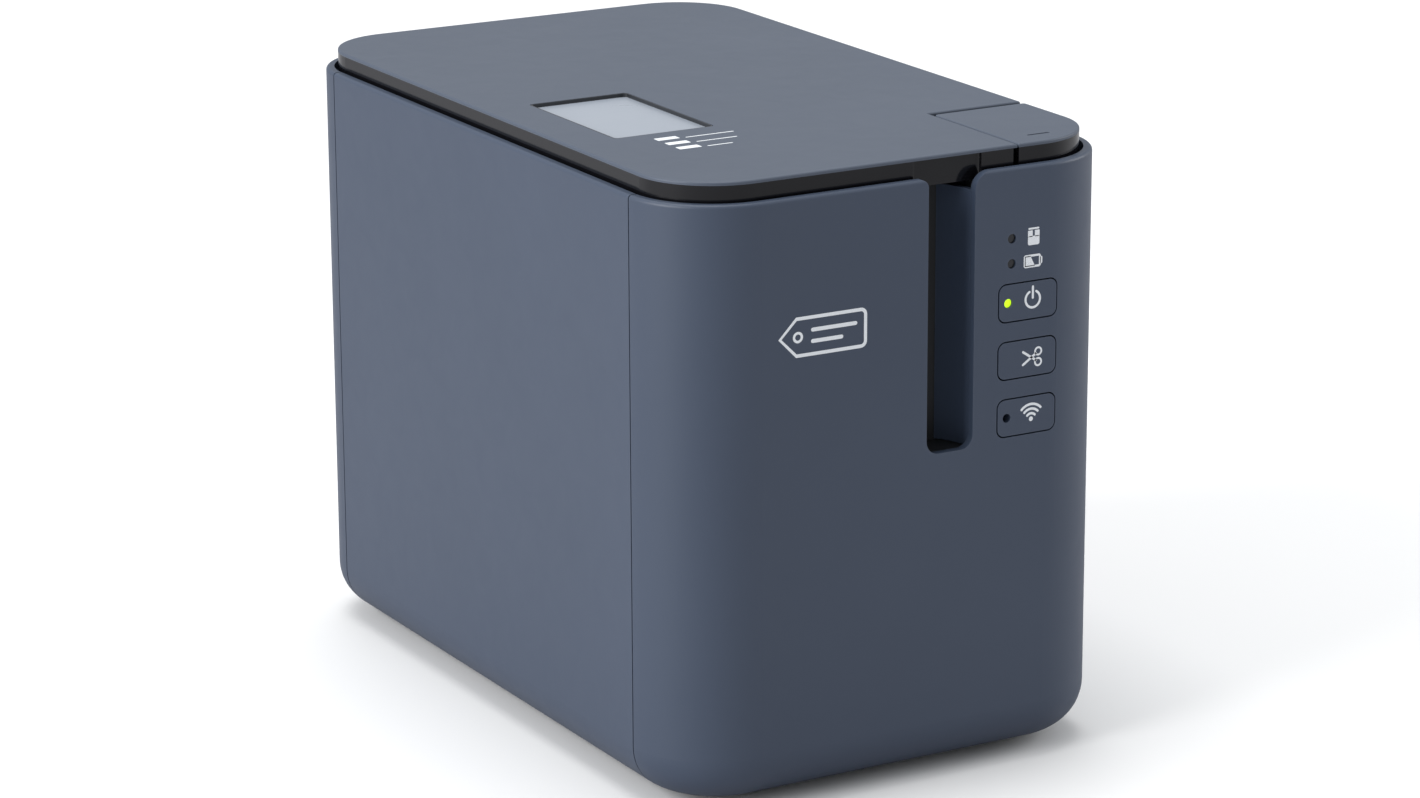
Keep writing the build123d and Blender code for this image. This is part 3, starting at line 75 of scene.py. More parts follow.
# The wall behind shows as pure white; the room lights the case less brightly.
sky = bpy.data.worlds.new("studio_sky")
sky.use_nodes = True
sky_nodes, sky_links = sky.node_tree.nodes, sky.node_tree.links
room_light = sky_nodes["Background"]
room_light.inputs["Color"].default_value = (0.96, 0.98, 1.0, 1)
room_light.inputs["Strength"].default_value = 0.56
white_wall = sky_nodes.new("ShaderNodeBackground")
white_wall.inputs["Color"].default_value = (1.0, 1.0, 1.0, 1)
seen_straight = sky_nodes.new("ShaderNodeLightPath")
wall_or_room = sky_nodes.new("ShaderNodeMixShader")
sky_links.new(seen_straight.outputs["Is Camera Ray"], wall_or_room.inputs["Fac"])
sky_links.new(room_light.outputs["Background"], wall_or_room.inputs[1])
sky_links.new(white_wall.outputs["Background"], wall_or_room.inputs[2])
sky_links.new(wall_or_room.outputs["Shader"], sky_nodes["World Output"].inputs["Surface"])
scene.world = sky

# The floor looks white but throws back less light than white paper would.
floor_reach = 4
floor_mesh = bpy.data.meshes.new("studio_floor")
sweep = bmesh.new()
sweep.faces.new([
    sweep.verts.new((side_x * floor_reach, side_y * floor_reach, 0))
    for side_x, side_y in ((-1, -1), (1, -1), (1, 1), (-1, 1))
])
sweep.to_mesh(floor_mesh)
sweep.free()
studio_floor = bpy.data.objects.new("studio_floor", floor_mesh)
scene.collection.objects.link(studio_floor)
floor_paint = bpy.data.materials.new("pale_floor")
floor_paint.use_nodes = True
paint = floor_paint.node_tree.nodes["Principled BSDF"]
paint.inputs["Roughness"].default_value = 0.7
speckle = floor_paint.node_tree.nodes.new("ShaderNodeTexNoise")
speckle.inputs["Scale"].default_value = 3.0
shades = floor_paint.node_tree.nodes.new("ShaderNodeMix")
shades.data_type = "RGBA"
shades.inputs["A"].default_value = (0.90, 0.90, 0.90, 1)
shades.inputs["B"].default_value = (0.94, 0.94, 0.94, 1)
floor_paint.node_tree.links.new(speckle.outputs["Fac"], shades.inputs["Factor"])
bounce = floor_paint.node_tree.nodes.new("ShaderNodeMix")
bounce.data_type = "RGBA"
bounce.inputs["A"].default_value = (0.50, 0.50, 0.52, 1)
floor_paths = floor_paint.node_tree.nodes.new("ShaderNodeLightPath")
floor_paint.node_tree.links.new(floor_paths.outputs["Is Camera Ray"], bounce.inputs["Factor"])
floor_paint.node_tree.links.new(shades.outputs["Result"], bounce.inputs["B"])
floor_paint.node_tree.links.new(bounce.outputs["Result"], paint.inputs["Base Color"])
floor_mesh.materials.append(floor_paint)


def softbox(name, place, size, power):
    """Square area lamp that faces the middle of the object."""
    lamp = bpy.data.lights.new(name, "AREA")
    lamp.shape = "SQUARE"
    lamp.size = size
    lamp.energy = power
    holder = bpy.data.objects.new(name, lamp)
    holder.location = place
    holder.rotation_euler = (middle - Vector(place)).to_track_quat("-Z", "Y").to_euler()
    scene.collection.objects.link(holder)


softbox("key_left", (-1.9, 0.0, 0.95), 1.4, 40)
softbox("top_light", (0.0, 0.5, 2.4), 1.6, 30)
softbox("fill_right", (1.8, -0.4, 0.8), 1.0, 13)

# The camera stands front left, a little above the lid.
heading, pitch, roll = math.radians(29.7126), math.radians(15.9789), math.radians(-0.2362)
look = Vector((
    math.sin(heading) * math.cos(pitch), math.cos(heading) * math.cos(pitch), -math.sin(pitch),
))
level = Vector((math.cos(heading), -math.sin(heading), 0))
over = level.cross(look)
right = math.cos(roll) * level + math.sin(roll) * over
upward = math.cos(roll) * over - math.sin(roll) * level
camera_data = bpy.data.cameras.new("camera")
camera_data.sensor_width = 36
camera_data.lens = 116.484
camera = bpy.data.objects.new("camera", camera_data)
aim = Vector((0, 0, 0.073))
stand_off, step_right, step_down = 1.1114, 0.00361, 0.00463
eye = aim + right * step_right - upward * step_down - look * stand_off
camera.matrix_world = Matrix.Translation(eye) @ Matrix((right, upward, -look)).transposed().to_4x4()
scene.collection.objects.link(camera)
scene.camera = camera


# ------------------------------------------------------------------ shared effects
def effect_group(name, inputs, outputs):
    """New shader node group with named float inputs (with defaults) and outputs."""
    group = bpy.data.node_groups.new(name, "ShaderNodeTree")
    for label, default in inputs:
        socket = group.interface.new_socket(label, in_out="INPUT", socket_type="NodeSocketFloat")
        socket.default_value = default
    for label in outputs:
        group.interface.new_socket(label, in_out="OUTPUT", socket_type="NodeSocketFloat")
    source = group.nodes.new("NodeGroupInput")
    sink = group.nodes.new("NodeGroupOutput")
    return group, source, sink


# Spark-eroded mould texture: fine pits with a slow change of tone over the wall.
moulded_grain, grain_in, grain_out = effect_group(
    "moulded_grain", (("Scale", 2600.0), ("Cloud Scale", 22.0)), ("Height", "Tone", "Scuff")
)
grain_links = moulded_grain.links
place = moulded_grain.nodes.new("ShaderNodeTexCoord")
pits = moulded_grain.nodes.new("ShaderNodeTexNoise")
pits.inputs["Detail"].default_value = 3.0
pits.inputs["Roughness"].default_value = 0.62
cloud = moulded_grain.nodes.new("ShaderNodeTexNoise")
cloud.inputs["Detail"].default_value = 4.0
scuff = moulded_grain.nodes.new("ShaderNodeTexNoise")
scuff.inputs["Scale"].default_value = 140.0
scuff.inputs["Detail"].default_value = 6.0
scuff.inputs["Distortion"].default_value = 0.6
for texture in (pits, cloud, scuff):
    grain_links.new(place.outputs["Object"], texture.inputs["Vector"])
grain_links.new(grain_in.outputs["Scale"], pits.inputs["Scale"])
grain_links.new(grain_in.outputs["Cloud Scale"], cloud.inputs["Scale"])
grain_links.new(pits.outputs["Fac"], grain_out.inputs["Height"])
grain_links.new(cloud.outputs["Fac"], grain_out.inputs["Tone"])
grain_links.new(scuff.outputs["Fac"], grain_out.inputs["Scuff"])

# Handling wear: edges show paler where the bevelled normal leaves the true one.
edge_wear, wear_in, wear_out = effect_group("edge_wear", (("Radius", 0.0006), ("Amount", 1.0)), ("Mask",))
rounding = edge_wear.nodes.new("ShaderNodeBevel")
rounding.samples = 4
facing = edge_wear.nodes.new("ShaderNodeNewGeometry")
agreement = edge_wear.nodes.new("ShaderNodeVectorMath")
agreement.operation = "DOT_PRODUCT"
spread = edge_wear.nodes.new("ShaderNodeMapRange")
spread.inputs["From Min"].default_value = 0.985
spread.inputs["From Max"].default_value = 0.80
breakup = edge_wear.nodes.new("ShaderNodeTexNoise")
breakup.inputs["Scale"].default_value = 420.0
breakup.inputs["Detail"].default_value = 5.0
where = edge_wear.nodes.new("ShaderNodeTexCoord")
patchy = edge_wear.nodes.new("ShaderNodeMath")
patchy.operation = "MULTIPLY"
strength = edge_wear.nodes.new("ShaderNodeMath")
strength.operation = "MULTIPLY"
wear_links = edge_wear.links
wear_links.new(wear_in.outputs["Radius"], rounding.inputs["Radius"])
wear_links.new(rounding.outputs["Normal"], agreement.inputs[0])
wear_links.new(facing.outputs["Normal"], agreement.inputs[1])
wear_links.new(agreement.outputs["Value"], spread.inputs["Value"])
wear_links.new(where.outputs["Object"], breakup.inputs["Vector"])
wear_links.new(spread.outputs["Result"], patchy.inputs[0])
wear_links.new(breakup.outputs["Fac"], patchy.inputs[1])
wear_links.new(patchy.outputs["Value"], strength.inputs[0])
wear_links.new(wear_in.outputs["Amount"], strength.inputs[1])
wear_links.new(strength.outputs["Value"], wear_out.inputs["Mask"])


def moulded_finish(
    name, dark, light, worn, rough, rough_change=0.08, grain=0.05, pit_scale=2600.0, wear=0.8, **settings
):
    """Moulded or machined surface: two close tones, worn edges, varied gloss and a fine grain."""
    material = bpy.data.materials.new(name)
    material.use_nodes = True
    nodes, links = material.node_tree.nodes, material.node_tree.links
    surface = nodes["Principled BSDF"]
    for socket, value in settings.items():
        surface.inputs[socket.replace("_", " ")].default_value = value
    texture = nodes.new("ShaderNodeGroup")
    texture.node_tree = moulded_grain
    texture.inputs["Scale"].default_value = pit_scale
    edges = nodes.new("ShaderNodeGroup")
    edges.node_tree = edge_wear
    edges.inputs["Amount"].default_value = wear
    tones = nodes.new("ShaderNodeMix")
    tones.data_type = "RGBA"
    tones.inputs["A"].default_value = (*dark, 1)
    tones.inputs["B"].default_value = (*light, 1)
    rubbed = nodes.new("ShaderNodeMix")
    rubbed.data_type = "RGBA"
    rubbed.inputs["B"].default_value = (*worn, 1)
    gloss = nodes.new("ShaderNodeMapRange")
    gloss.inputs["To Min"].default_value = rough - rough_change
    gloss.inputs["To Max"].default_value = rough + rough_change
    relief = nodes.new("ShaderNodeBump")
    relief.inputs["Strength"].default_value = grain
    relief.inputs["Distance"].default_value = 0.0002
    links.new(texture.outputs["Tone"], tones.inputs["Factor"])
    links.new(tones.outputs["Result"], rubbed.inputs["A"])
    links.new(edges.outputs["Mask"], rubbed.inputs["Factor"])
    links.new(rubbed.outputs["Result"], surface.inputs["Base Color"])
    links.new(texture.outputs["Scuff"], gloss.inputs["Value"])
    links.new(gloss.outputs["Result"], surface.inputs["Roughness"])
    links.new(texture.outputs["Height"], relief.inputs["Height"])
    links.new(relief.outputs["Normal"], surface.inputs["Normal"])
    return material


def dress(material, *nodes):
    """Give a carried-over solid its finish."""
    for node in nodes:
        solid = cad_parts[node]
        for slot in solid.material_slots:
            slot.material = material
        if not solid.material_slots:
            solid.data.materials.append(material)


def new_piece(name, mesh, material, body):
    """Put a finished mesh in the scene on the body that carries it."""
    mesh.materials.clear()
    mesh.materials.append(material)
    piece = bpy.data.objects.new(name, mesh)
    scene.collection.objects.link(piece)
    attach(piece, body)
    return piece


def skin_between(shape, rings):
    """Faces from each ring of vertices to the next one."""
    for first, second in zip(rings, rings[1:]):
        for here in range(len(first)):
            after = (here + 1) % len(first)
            shape.faces.new((first[here], first[after], second[after], second[here]))


def closed_mesh(shape, name):
    """Mesh of a finished shape, with its faces turned outward."""
    bmesh.ops.recalc_face_normals(shape, faces=shape.faces)
    mesh = bpy.data.meshes.new(name)
    shape.to_mesh(mesh)
    shape.free()
    return mesh


# ------------------------------------------------------------------ outer case
# Front and rear shells and the two flat side panels: slate-grey ABS with a fine
# satin mould texture, snapped together over tongues behind the seams.
slate = moulded_finish(
    "slate_satin_abs",
    dark=(0.041, 0.057, 0.092), light=(0.048, 0.066, 0.104), worn=(0.10, 0.12, 0.16),
    rough=0.46, rough_change=0.05, grain=0.05, pit_scale=2600.0, wear=0.5, Specular_IOR_Level=0.5,
)
# The side panels get a slightly lighter copy of the same slate: painted light on the sides that face the
# lamps.
slate_lit_side_panel = moulded_finish(
    "slate_side_panel_painted_light",
    dark=(0.043, 0.060, 0.095), light=(0.050, 0.068, 0.107), worn=(0.10, 0.12, 0.16),
    rough=0.44, rough_change=0.05, grain=0.05, pit_scale=2600.0, wear=0.5, Specular_IOR_Level=0.5,
)
dress(slate, "front_shell", "rear_shell", "power_button", "cut_button", "wireless_button")
dress(slate_lit_side_panel, "left_side_panel", "right_side_panel")

underside = moulded_finish(
    "base_abs",
    dark=(0.016, 0.018, 0.021), light=(0.022, 0.024, 0.028), worn=(0.05, 0.05, 0.06),
    rough=0.55, rough_change=0.06, grain=0.15, pit_scale=1800.0,
)
dress(underside, "base_tray")

# ------------------------------------------------------------------ lid
# Matt top plate bonded on a polished black rim, a frosted window over the
# cassette and a black corner button, with a matt cap, that opens the cover.
lid_matt = moulded_finish(
    "lid_matt_abs",
    dark=(0.062, 0.079, 0.112), light=(0.073, 0.091, 0.127), worn=(0.13, 0.15, 0.19),
    rough=0.50, rough_change=0.05, grain=0.10, pit_scale=2200.0, wear=0.5,
)
dress(lid_matt, "lid_top_plate", "cover_button_cap")
piano_black = moulded_finish(
    "rim_gloss_black",
    dark=(0.004, 0.004, 0.005), light=(0.006, 0.006, 0.008), worn=(0.02, 0.02, 0.024),
    rough=0.12, rough_change=0.03, grain=0.01, pit_scale=900.0, wear=0.4, Specular_IOR_Level=0.35,
)
dress(piano_black, "lid_rim", "cover_open_button")
window_frost = moulded_finish(
    "window_frost",
    dark=(0.295, 0.33, 0.385), light=(0.34, 0.375, 0.43), worn=(0.5, 0.53, 0.58),
    rough=0.30, rough_change=0.06, grain=0.02, pit_scale=1200.0, wear=0.3,
)
dress(window_frost, "lid_window")

# ------------------------------------------------------------------ printed marks
# Pale pad-printed symbols: a thin film of ink on the shell, the buttons and the
# lid. Strokes are round-ended lines, patches are filled outlines.
ink_thickness = 0.03 * mm
ink_stand_off = 0.01 * mm
end_steps = 4
ink_grey = moulded_finish(
    "pale_grey_ink",
    dark=(0.80, 0.83, 0.86), light=(0.88, 0.91, 0.94), worn=(0.6, 0.62, 0.64),
    rough=0.42, rough_change=0.06, grain=0.04, pit_scale=3000.0, wear=0.3,
)


def stroke_outline(points, width, closed):
    """Left and right edges of a line of ink drawn along the points."""
    count = len(points)
    left, right_side = [], []
    for index, point in enumerate(points):
        before = points[index - 1] if closed or index else point
        after = points[(index + 1) % count] if closed or index < count - 1 else point
        along = (Vector(after) - Vector(before)).normalized()
        across = Vector((-along.y, along.x)) * width / 2
        left.append(Vector(point) + across)
        right_side.append(Vector(point) - across)
    return left, right_side


def ink_layer(name, strokes, patches, place_on, body, ink=ink_grey):
    """One printed symbol from strokes (points, width, closed) and patches (outlines)."""
    film = bmesh.new()
    for points, width, closed in strokes:
        left, right_side = stroke_outline(points, width, closed)
        rows = [(film.verts.new(place_on(a)), film.verts.new(place_on(b))) for a, b in zip(left, right_side)]
        spans = list(zip(rows, rows[1:])) + ([(rows[-1], rows[0])] if closed else [])
        for (a, b), (c, d) in spans:
            film.faces.new((a, b, d, c))
        if not closed:
            for end, other in ((0, 1), (-1, -2)):
                outward = (Vector(points[end]) - Vector(points[other])).normalized()
                start = math.atan2(outward.y, outward.x)
                fan = [
                    Vector(points[end]) + Vector((math.cos(start + turn), math.sin(start + turn))) * width / 2
                    for turn in (math.pi / 2 * (step / end_steps - 1) for step in range(2 * end_steps + 1))
                ]
                film.faces.new([film.verts.new(place_on(p)) for p in fan])
    for outline in patches:
        film.faces.new([film.verts.new(place_on(Vector(p))) for p in outline])
    bmesh.ops.recalc_face_normals(film, faces=film.faces)
    away = place_on(Vector((0, 0)), 1.0) - place_on(Vector((0, 0)))
    for face in film.faces:
        if face.normal.dot(away) < 0:
            face.normal_flip()
    skin = bmesh.ops.extrude_face_region(film, geom=list(film.faces))
    lifted = [item for item in skin["geom"] if isinstance(item, bmesh.types.BMVert)]
    bmesh.ops.translate(film, vec=away.normalized() * ink_thickness, verts=lifted)
    return new_piece(name, closed_mesh(film, name), ink, body)


def arc(centre, radius, start, end, steps=24):
    """Points along a circle from start to end, in degrees."""
    return [
        (
            centre[0] + radius * math.cos(math.radians(start + (end - start) * step / steps)),
            centre[1] + radius * math.sin(math.radians(start + (end - start) * step / steps)),
        )
        for step in range(steps + 1)
    ]


front_face_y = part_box("front_shell")[0][1]


def on_front(point, lift=0.0):
    """Place on the flat front face; point is across and up, in millimetres."""
    return Vector((point.x * mm, front_face_y - ink_stand_off - lift * mm, point.y * mm))


def rounded_box(centre, width, height, radius, steps=5):
    """Outline of a rectangle with round corners."""
    points = []
    for side_x, side_y, start in ((1, 1, 0), (-1, 1, 90), (-1, -1, 180), (1, -1, 270)):
        corner = (centre[0] + side_x * (width / 2 - radius), centre[1] + side_y * (height / 2 - radius))
        points += arc(corner, radius, start, start + 90, steps)
    return points


button_middle = {
    name: (
        (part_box(f"{name}_button")[0][0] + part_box(f"{name}_button")[1][0]) / 2 / mm,
        (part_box(f"{name}_button")[0][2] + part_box(f"{name}_button")[1][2]) / 2 / mm,
    )
    for name in ("power", "cut", "wireless")
}
symbol_shift = 1.3
line = 0.55
thin_line, bold_line = line * 0.8, line * 1.05
full_ring = (0, 345, 23)

# Power: a ring open at the top with a stem through the gap.
ring_radius, ring_sweep, ring_rise = 1.95, (118, 422, 36), 0.2
stem_foot, stem_head = 0.3, 2.9
power_at = (button_middle["power"][0] + symbol_shift, button_middle["power"][1] + ring_rise)
ink_layer(
    "power_symbol",
    [
        (arc(power_at, ring_radius, *ring_sweep), line, False),
        ([(power_at[0], power_at[1] + stem_foot), (power_at[0], power_at[1] + stem_head)], line, False),
    ],
    [], on_front, "power_key",
)

# Cut: a pair of scissors, points to the left and finger loops to the right.
tip_reach, tip_spread, heel_reach, heel_spread = 2.4, 1.5, 1.1, 0.8
loop_radius, loop_reach, loop_spread = 0.85, 1.7, 1.25
cut_at = (button_middle["cut"][0] + symbol_shift, button_middle["cut"][1])
scissor_blades = [
    [
        (cut_at[0] - tip_reach, cut_at[1] - side * tip_spread),
        (cut_at[0] + heel_reach, cut_at[1] + side * heel_spread),
    ]
    for side in (1, -1)
]
finger_loops = [
    arc((cut_at[0] + loop_reach, cut_at[1] + side * loop_spread), loop_radius, *full_ring) for side in (1, -1)
]
ink_layer(
    "scissors_symbol",
    [(blade, line, False) for blade in scissor_blades] + [(ring, thin_line, True) for ring in finger_loops],
    [], on_front, "cut_key",
)

# Wireless: three arcs over a dot.
wave_radii, wave_sweep, waves_drop = (1.45, 2.55, 3.65), (45, 135, 18), 1.2
dot_radius, dot_rise = 0.55, 0.15
waves_at = (button_middle["wireless"][0] + symbol_shift, button_middle["wireless"][1] - waves_drop)
ink_layer(
    "radio_waves_symbol",
    [(arc(waves_at, radius, *wave_sweep), bold_line, False) for radius in wave_radii],
    [arc((waves_at[0], waves_at[1] + dot_rise), dot_radius, *full_ring)], on_front, "wireless_key",
)

# Tape: an edge line, a body and a shoulder each side of its slot, each patch given
# as across, up, width, height and corner radius.
pipe_radius = 1.05
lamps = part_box("status_light_pipes")
upper_lamp_z = lamps[1][2] / mm - pipe_radius
lower_lamp_z = lamps[0][2] / mm + pipe_radius
tape_at = (button_middle["power"][0] + symbol_shift, upper_lamp_z)
tape_patches = (
    (0.0, 1.72, 2.9, 0.42, 0.18),
    (0.0, -1.05, 3.1, 2.1, 0.45),
    (-0.92, 0.55, 1.26, 1.5, 0.12),
    (0.92, 0.55, 1.26, 1.5, 0.12),
)
ink_layer(
    "tape_symbol", [],
    [
        rounded_box((tape_at[0] + across, tape_at[1] + up), width, height, corner)
        for across, up, width, height, corner in tape_patches
    ],
    on_front, "root",
)

# Battery: an outline with a terminal on the right, part full with a slanted edge.
cell_at = (tape_at[0], lower_lamp_z)
cell_width, cell_height, cell_corner, cell_shift, cell_line = 4.1, 2.5, 0.3, 0.3, 0.5
terminal_reach, terminal_half, terminal_line = 2.1, 0.55, 0.6
charge_left, charge_foot, charge_head, charge_half = -2.3, 0.4, -0.8, 1.2
ink_layer(
    "battery_symbol",
    [
        (
            rounded_box((cell_at[0] - cell_shift, cell_at[1]), cell_width, cell_height, cell_corner),
            cell_line, True,
        ),
        (
            [(cell_at[0] + terminal_reach, cell_at[1] + end * terminal_half) for end in (-1, 1)],
            terminal_line, False,
        ),
    ],
    [[
        (cell_at[0] + charge_left, cell_at[1] - charge_half),
        (cell_at[0] + charge_foot, cell_at[1] - charge_half),
        (cell_at[0] + charge_head, cell_at[1] + charge_half),
        (cell_at[0] + charge_left, cell_at[1] + charge_half),
    ]],
    on_front, "root",
)

# Plain tag mark on the front: a luggage-tag outline with an eyelet and two lines.
tag_left, tag_right, tag_z, tag_height = -33.0, -11.0, 110.0, 8.4
tag_point, tag_corner, tag_line, corner_steps = 4.2, 1.2, 0.8, 6
eyelet_in, eyelet_radius, eyelet_line = 4.6, 1.0, 0.6
text_in, text_half, text_line = 8.4, 1.3, 0.9
upper_end, lower_end = 2.6, 6.2
tag_outline = (
    [(tag_left, tag_z), (tag_left + tag_point, tag_z + tag_height / 2)]
    + arc((tag_right - tag_corner, tag_z + tag_height / 2 - tag_corner), tag_corner, 90, 0, corner_steps)
    + arc((tag_right - tag_corner, tag_z - tag_height / 2 + tag_corner), tag_corner, 0, -90, corner_steps)
    + [(tag_left + tag_point, tag_z - tag_height / 2)]
)
text_rows = [
    [(tag_left + text_in, height), (tag_right - end, height)]
    for end, height in ((upper_end, tag_z + text_half), (lower_end, tag_z - text_half))
]
ink_layer(
    "tag_mark",
    [
        (tag_outline, tag_line, True),
        (arc((tag_left + eyelet_in, tag_z), eyelet_radius, *full_ring), eyelet_line, True),
    ] + [(row, text_line, False) for row in text_rows],
    [], on_front, "root",
)

lid_surface_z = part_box("lid_top_plate")[1][2]


def on_lid(point, lift=0.0):
    """Place on the lid's flat top; point is across and back, in millimetres."""
    return Vector((point.x * mm, point.y * mm, lid_surface_z + ink_stand_off + lift * mm))


# Thin black ring that lines the recess walls round the frosted window: painted shade in the recess.
window_low, window_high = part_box("lid_window")
window_middle = [(a + b) / 2 / mm for a, b in zip(window_low, window_high)]
window_span = [(b - a) / mm for a, b in zip(window_low, window_high)]
# Near-black colour of the painted shade ring on the recess walls.
recess_shade_black = moulded_finish(
    "window_recess_painted_shade",
    dark=(0.012, 0.014, 0.017), light=(0.020, 0.023, 0.028), worn=(0.05, 0.05, 0.06),
    rough=0.40, rough_change=0.08, grain=0.05, pit_scale=1800.0,
)
shade_ring_width, shade_ring_gap, shade_ring_corner = 0.22, 0.01, 1.0
shade_ring_bottom, shade_ring_top = window_high[2], lid_surface_z - 0.04 * mm
shade_ring = bmesh.new()
shade_ring_edges = [
    [
        shade_ring.verts.new((x * mm, y * mm, height))
        for x, y in rounded_box(
            window_middle, window_span[0] - 2 * inset, window_span[1] - 2 * inset, shade_ring_corner
        )
    ]
    for inset, height in (
        (shade_ring_gap, shade_ring_bottom), (shade_ring_gap, shade_ring_top), (shade_ring_width, shade_ring_top), (shade_ring_width, shade_ring_bottom),
    )
]
skin_between(shade_ring, shade_ring_edges + shade_ring_edges[:1])
new_piece("window_recess_shade_ring", closed_mesh(shade_ring, "window_recess_shade_ring"), recess_shade_black, "lid")

# Three plain bars in front of the window, each with a shorter line after it: the
# tape width scale.
scale_x = window_low[0] / mm + 7.0
scale_y = window_low[1] / mm - 6.0
bar_pitch, bar_length, bar_height, bar_corner = 5.0, 5.6, 2.4, 0.3
bar_in, line_in, line_drop, line_width = 3.0, 7.5, 1.1, 0.5
for row, line_length in enumerate((12.0, 10.0, 6.0)):
    bar_y = scale_y - row * bar_pitch
    line_start = (scale_x + line_in, bar_y - line_drop)
    ink_layer(
        f"width_bar_{row + 1}",
        [([line_start, (line_start[0] + line_length, line_start[1])], line_width, False)],
        [rounded_box((scale_x + bar_in, bar_y), bar_length, bar_height, bar_corner)], on_lid, "lid",
    )

# ------------------------------------------------------------------ lamps
# Moulded light pipes: the power key's is lit yellow-green, and the two status
# pipes above it and the lamps behind are dark smoked lenses.
lit_lens = moulded_finish(
    "lit_green_lens",
    dark=(0.42, 0.70, 0.00), light=(0.50, 0.80, 0.00), worn=(0.6, 0.9, 0.1),
    rough=0.30, rough_change=0.05, grain=0.02,
)
glow = lit_lens.node_tree.nodes["Principled BSDF"]
hot_spot = lit_lens.node_tree.nodes.new("ShaderNodeTexNoise")
hot_spot.inputs["Scale"].default_value = 300.0
glow_tones = lit_lens.node_tree.nodes.new("ShaderNodeMix")
glow_tones.data_type = "RGBA"
glow_tones.inputs["A"].default_value = (0.50, 0.85, 0.0, 1)
glow_tones.inputs["B"].default_value = (0.60, 0.95, 0.02, 1)
lit_lens.node_tree.links.new(hot_spot.outputs["Fac"], glow_tones.inputs["Factor"])
lit_lens.node_tree.links.new(glow_tones.outputs["Result"], glow.inputs["Emission Color"])
glow.inputs["Emission Strength"].default_value = 1.0
dress(lit_lens, "power_light_pipe")
dark_lens = moulded_finish(
    "smoked_lens",
    dark=(0.012, 0.013, 0.015), light=(0.018, 0.019, 0.022), worn=(0.05, 0.05, 0.05),
    rough=0.20, rough_change=0.05, grain=0.02,
)
dress(dark_lens, "status_light_pipes", "indicator_lamps")

# ------------------------------------------------------------------ feet and screws
# Moulded rubber feet pressed into seats in the base; zinc-plated steel screws.
foot_rubber = moulded_finish(
    "foot_rubber",
    dark=(0.012, 0.012, 0.012), light=(0.022, 0.022, 0.021), worn=(0.05, 0.05, 0.05),
    rough=0.78, rough_change=0.08, grain=0.25, pit_scale=1500.0, wear=0.7,
)
dress(foot_rubber, "rubber_feet")
zinc_steel = moulded_finish(
    "zinc_plated_steel",
    dark=(0.42, 0.43, 0.45), light=(0.55, 0.56, 0.57), worn=(0.75, 0.75, 0.74),
    rough=0.32, rough_change=0.10, grain=0.06, pit_scale=1400.0, wear=0.8, Metallic=1.0,
)
dress(
    zinc_steel, "base_screws", "plate_screws", "hinge_pins", "holder_pivot_pin", "drive_plate",
    "cutter_frame", "frame_pillars", "lid_catch", "platen_shaft",
)
ground_steel = moulded_finish(
    "ground_blade_steel",
    dark=(0.55, 0.56, 0.58), light=(0.68, 0.69, 0.70), worn=(0.85, 0.85, 0.85),
    rough=0.20, rough_change=0.08, grain=0.05, pit_scale=3200.0, wear=0.9, Metallic=1.0,
)
dress(ground_steel, "fixed_blade", "moving_blade")

# ------------------------------------------------------------------ button spring
# Wire coil under the cover-open button, from its foot in the well up to its top turn under the button.
spring_low, spring_high = (Vector(corner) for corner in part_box("cover_button_spring"))
wire_radius = 0.35 * mm
coil_turns, turn_steps, wire_sides = 6, 28, 10
coil_radius = (spring_high.x - spring_low.x) / 2 - wire_radius
coil_foot = Vector((
    (spring_low.x + spring_high.x) / 2, (spring_low.y + spring_high.y) / 2, spring_low.z + wire_radius,
))
coil_rise = (spring_high.z - spring_low.z - 2 * wire_radius) / (coil_turns * turn_steps)
coil = bmesh.new()
wire_rings = []
for step in range(coil_turns * turn_steps + 1):
    turned = 2 * math.pi * step / turn_steps
    outward = Vector((math.cos(turned), math.sin(turned), 0))
    wire_middle = coil_foot + outward * coil_radius + Vector((0, 0, coil_rise * step))
    wire_rings.append([
        coil.verts.new(
            wire_middle + (outward * math.cos(bend) + Vector((0, 0, math.sin(bend)))) * wire_radius
        )
        for bend in (2 * math.pi * side / wire_sides for side in range(wire_sides))
    ])
skin_between(coil, wire_rings)
coil.faces.new(wire_rings[0])
coil.faces.new(wire_rings[-1])
coil_mesh = closed_mesh(coil, "button_spring_coil")
for face in coil_mesh.polygons:
    face.use_smooth = len(face.vertices) == 4
coil_mesh.materials.append(zinc_steel)
spring_coil = bpy.data.objects.new("button_spring_coil", coil_mesh)
scene.collection.objects.link(spring_coil)
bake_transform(spring_coil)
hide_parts("cover_button_spring")

# ------------------------------------------------------------------ cassette bay
# Black glass-filled moulding under the lid, with the exit chute, the latch hook
# and the roller holder in the same plastic.
bay_black = moulded_finish(
    "bay_black_abs",
    dark=(0.010, 0.011, 0.013), light=(0.017, 0.018, 0.020), worn=(0.05, 0.05, 0.055),
    rough=0.52, rough_change=0.08, grain=0.15, pit_scale=1900.0, wear=0.8,
)
dress(bay_black, "cassette_bay", "tape_exit_chute", "latch_hook", "roller_holder")
acetal = moulded_finish(
    "natural_acetal",
    dark=(0.72, 0.70, 0.64), light=(0.80, 0.78, 0.72), worn=(0.5, 0.48, 0.44),
    rough=0.38, rough_change=0.06, grain=0.05, pit_scale=1500.0, wear=0.5, Subsurface_Weight=0.05,
)
dress(acetal, "idler_gear", "motor_pinion", "ribbon_spindle", "cutter_pinion", "blade_lever")
roller_rubber = moulded_finish(
    "ground_roller_rubber",
    dark=(0.020, 0.020, 0.022), light=(0.032, 0.032, 0.034), worn=(0.07, 0.07, 0.07),
    rough=0.70, rough_change=0.07, grain=0.20, pit_scale=2600.0, wear=0.5,
)
dress(roller_rubber, "platen_roller", "pinch_roller", "feed_roller")
motor_can = moulded_finish(
    "drawn_motor_can",
    dark=(0.30, 0.31, 0.32), light=(0.40, 0.41, 0.42), worn=(0.65, 0.65, 0.65),
    rough=0.35, rough_change=0.10, grain=0.08, pit_scale=900.0, wear=0.8, Metallic=1.0,
)
dress(motor_can, "feed_motor", "cutter_motor")
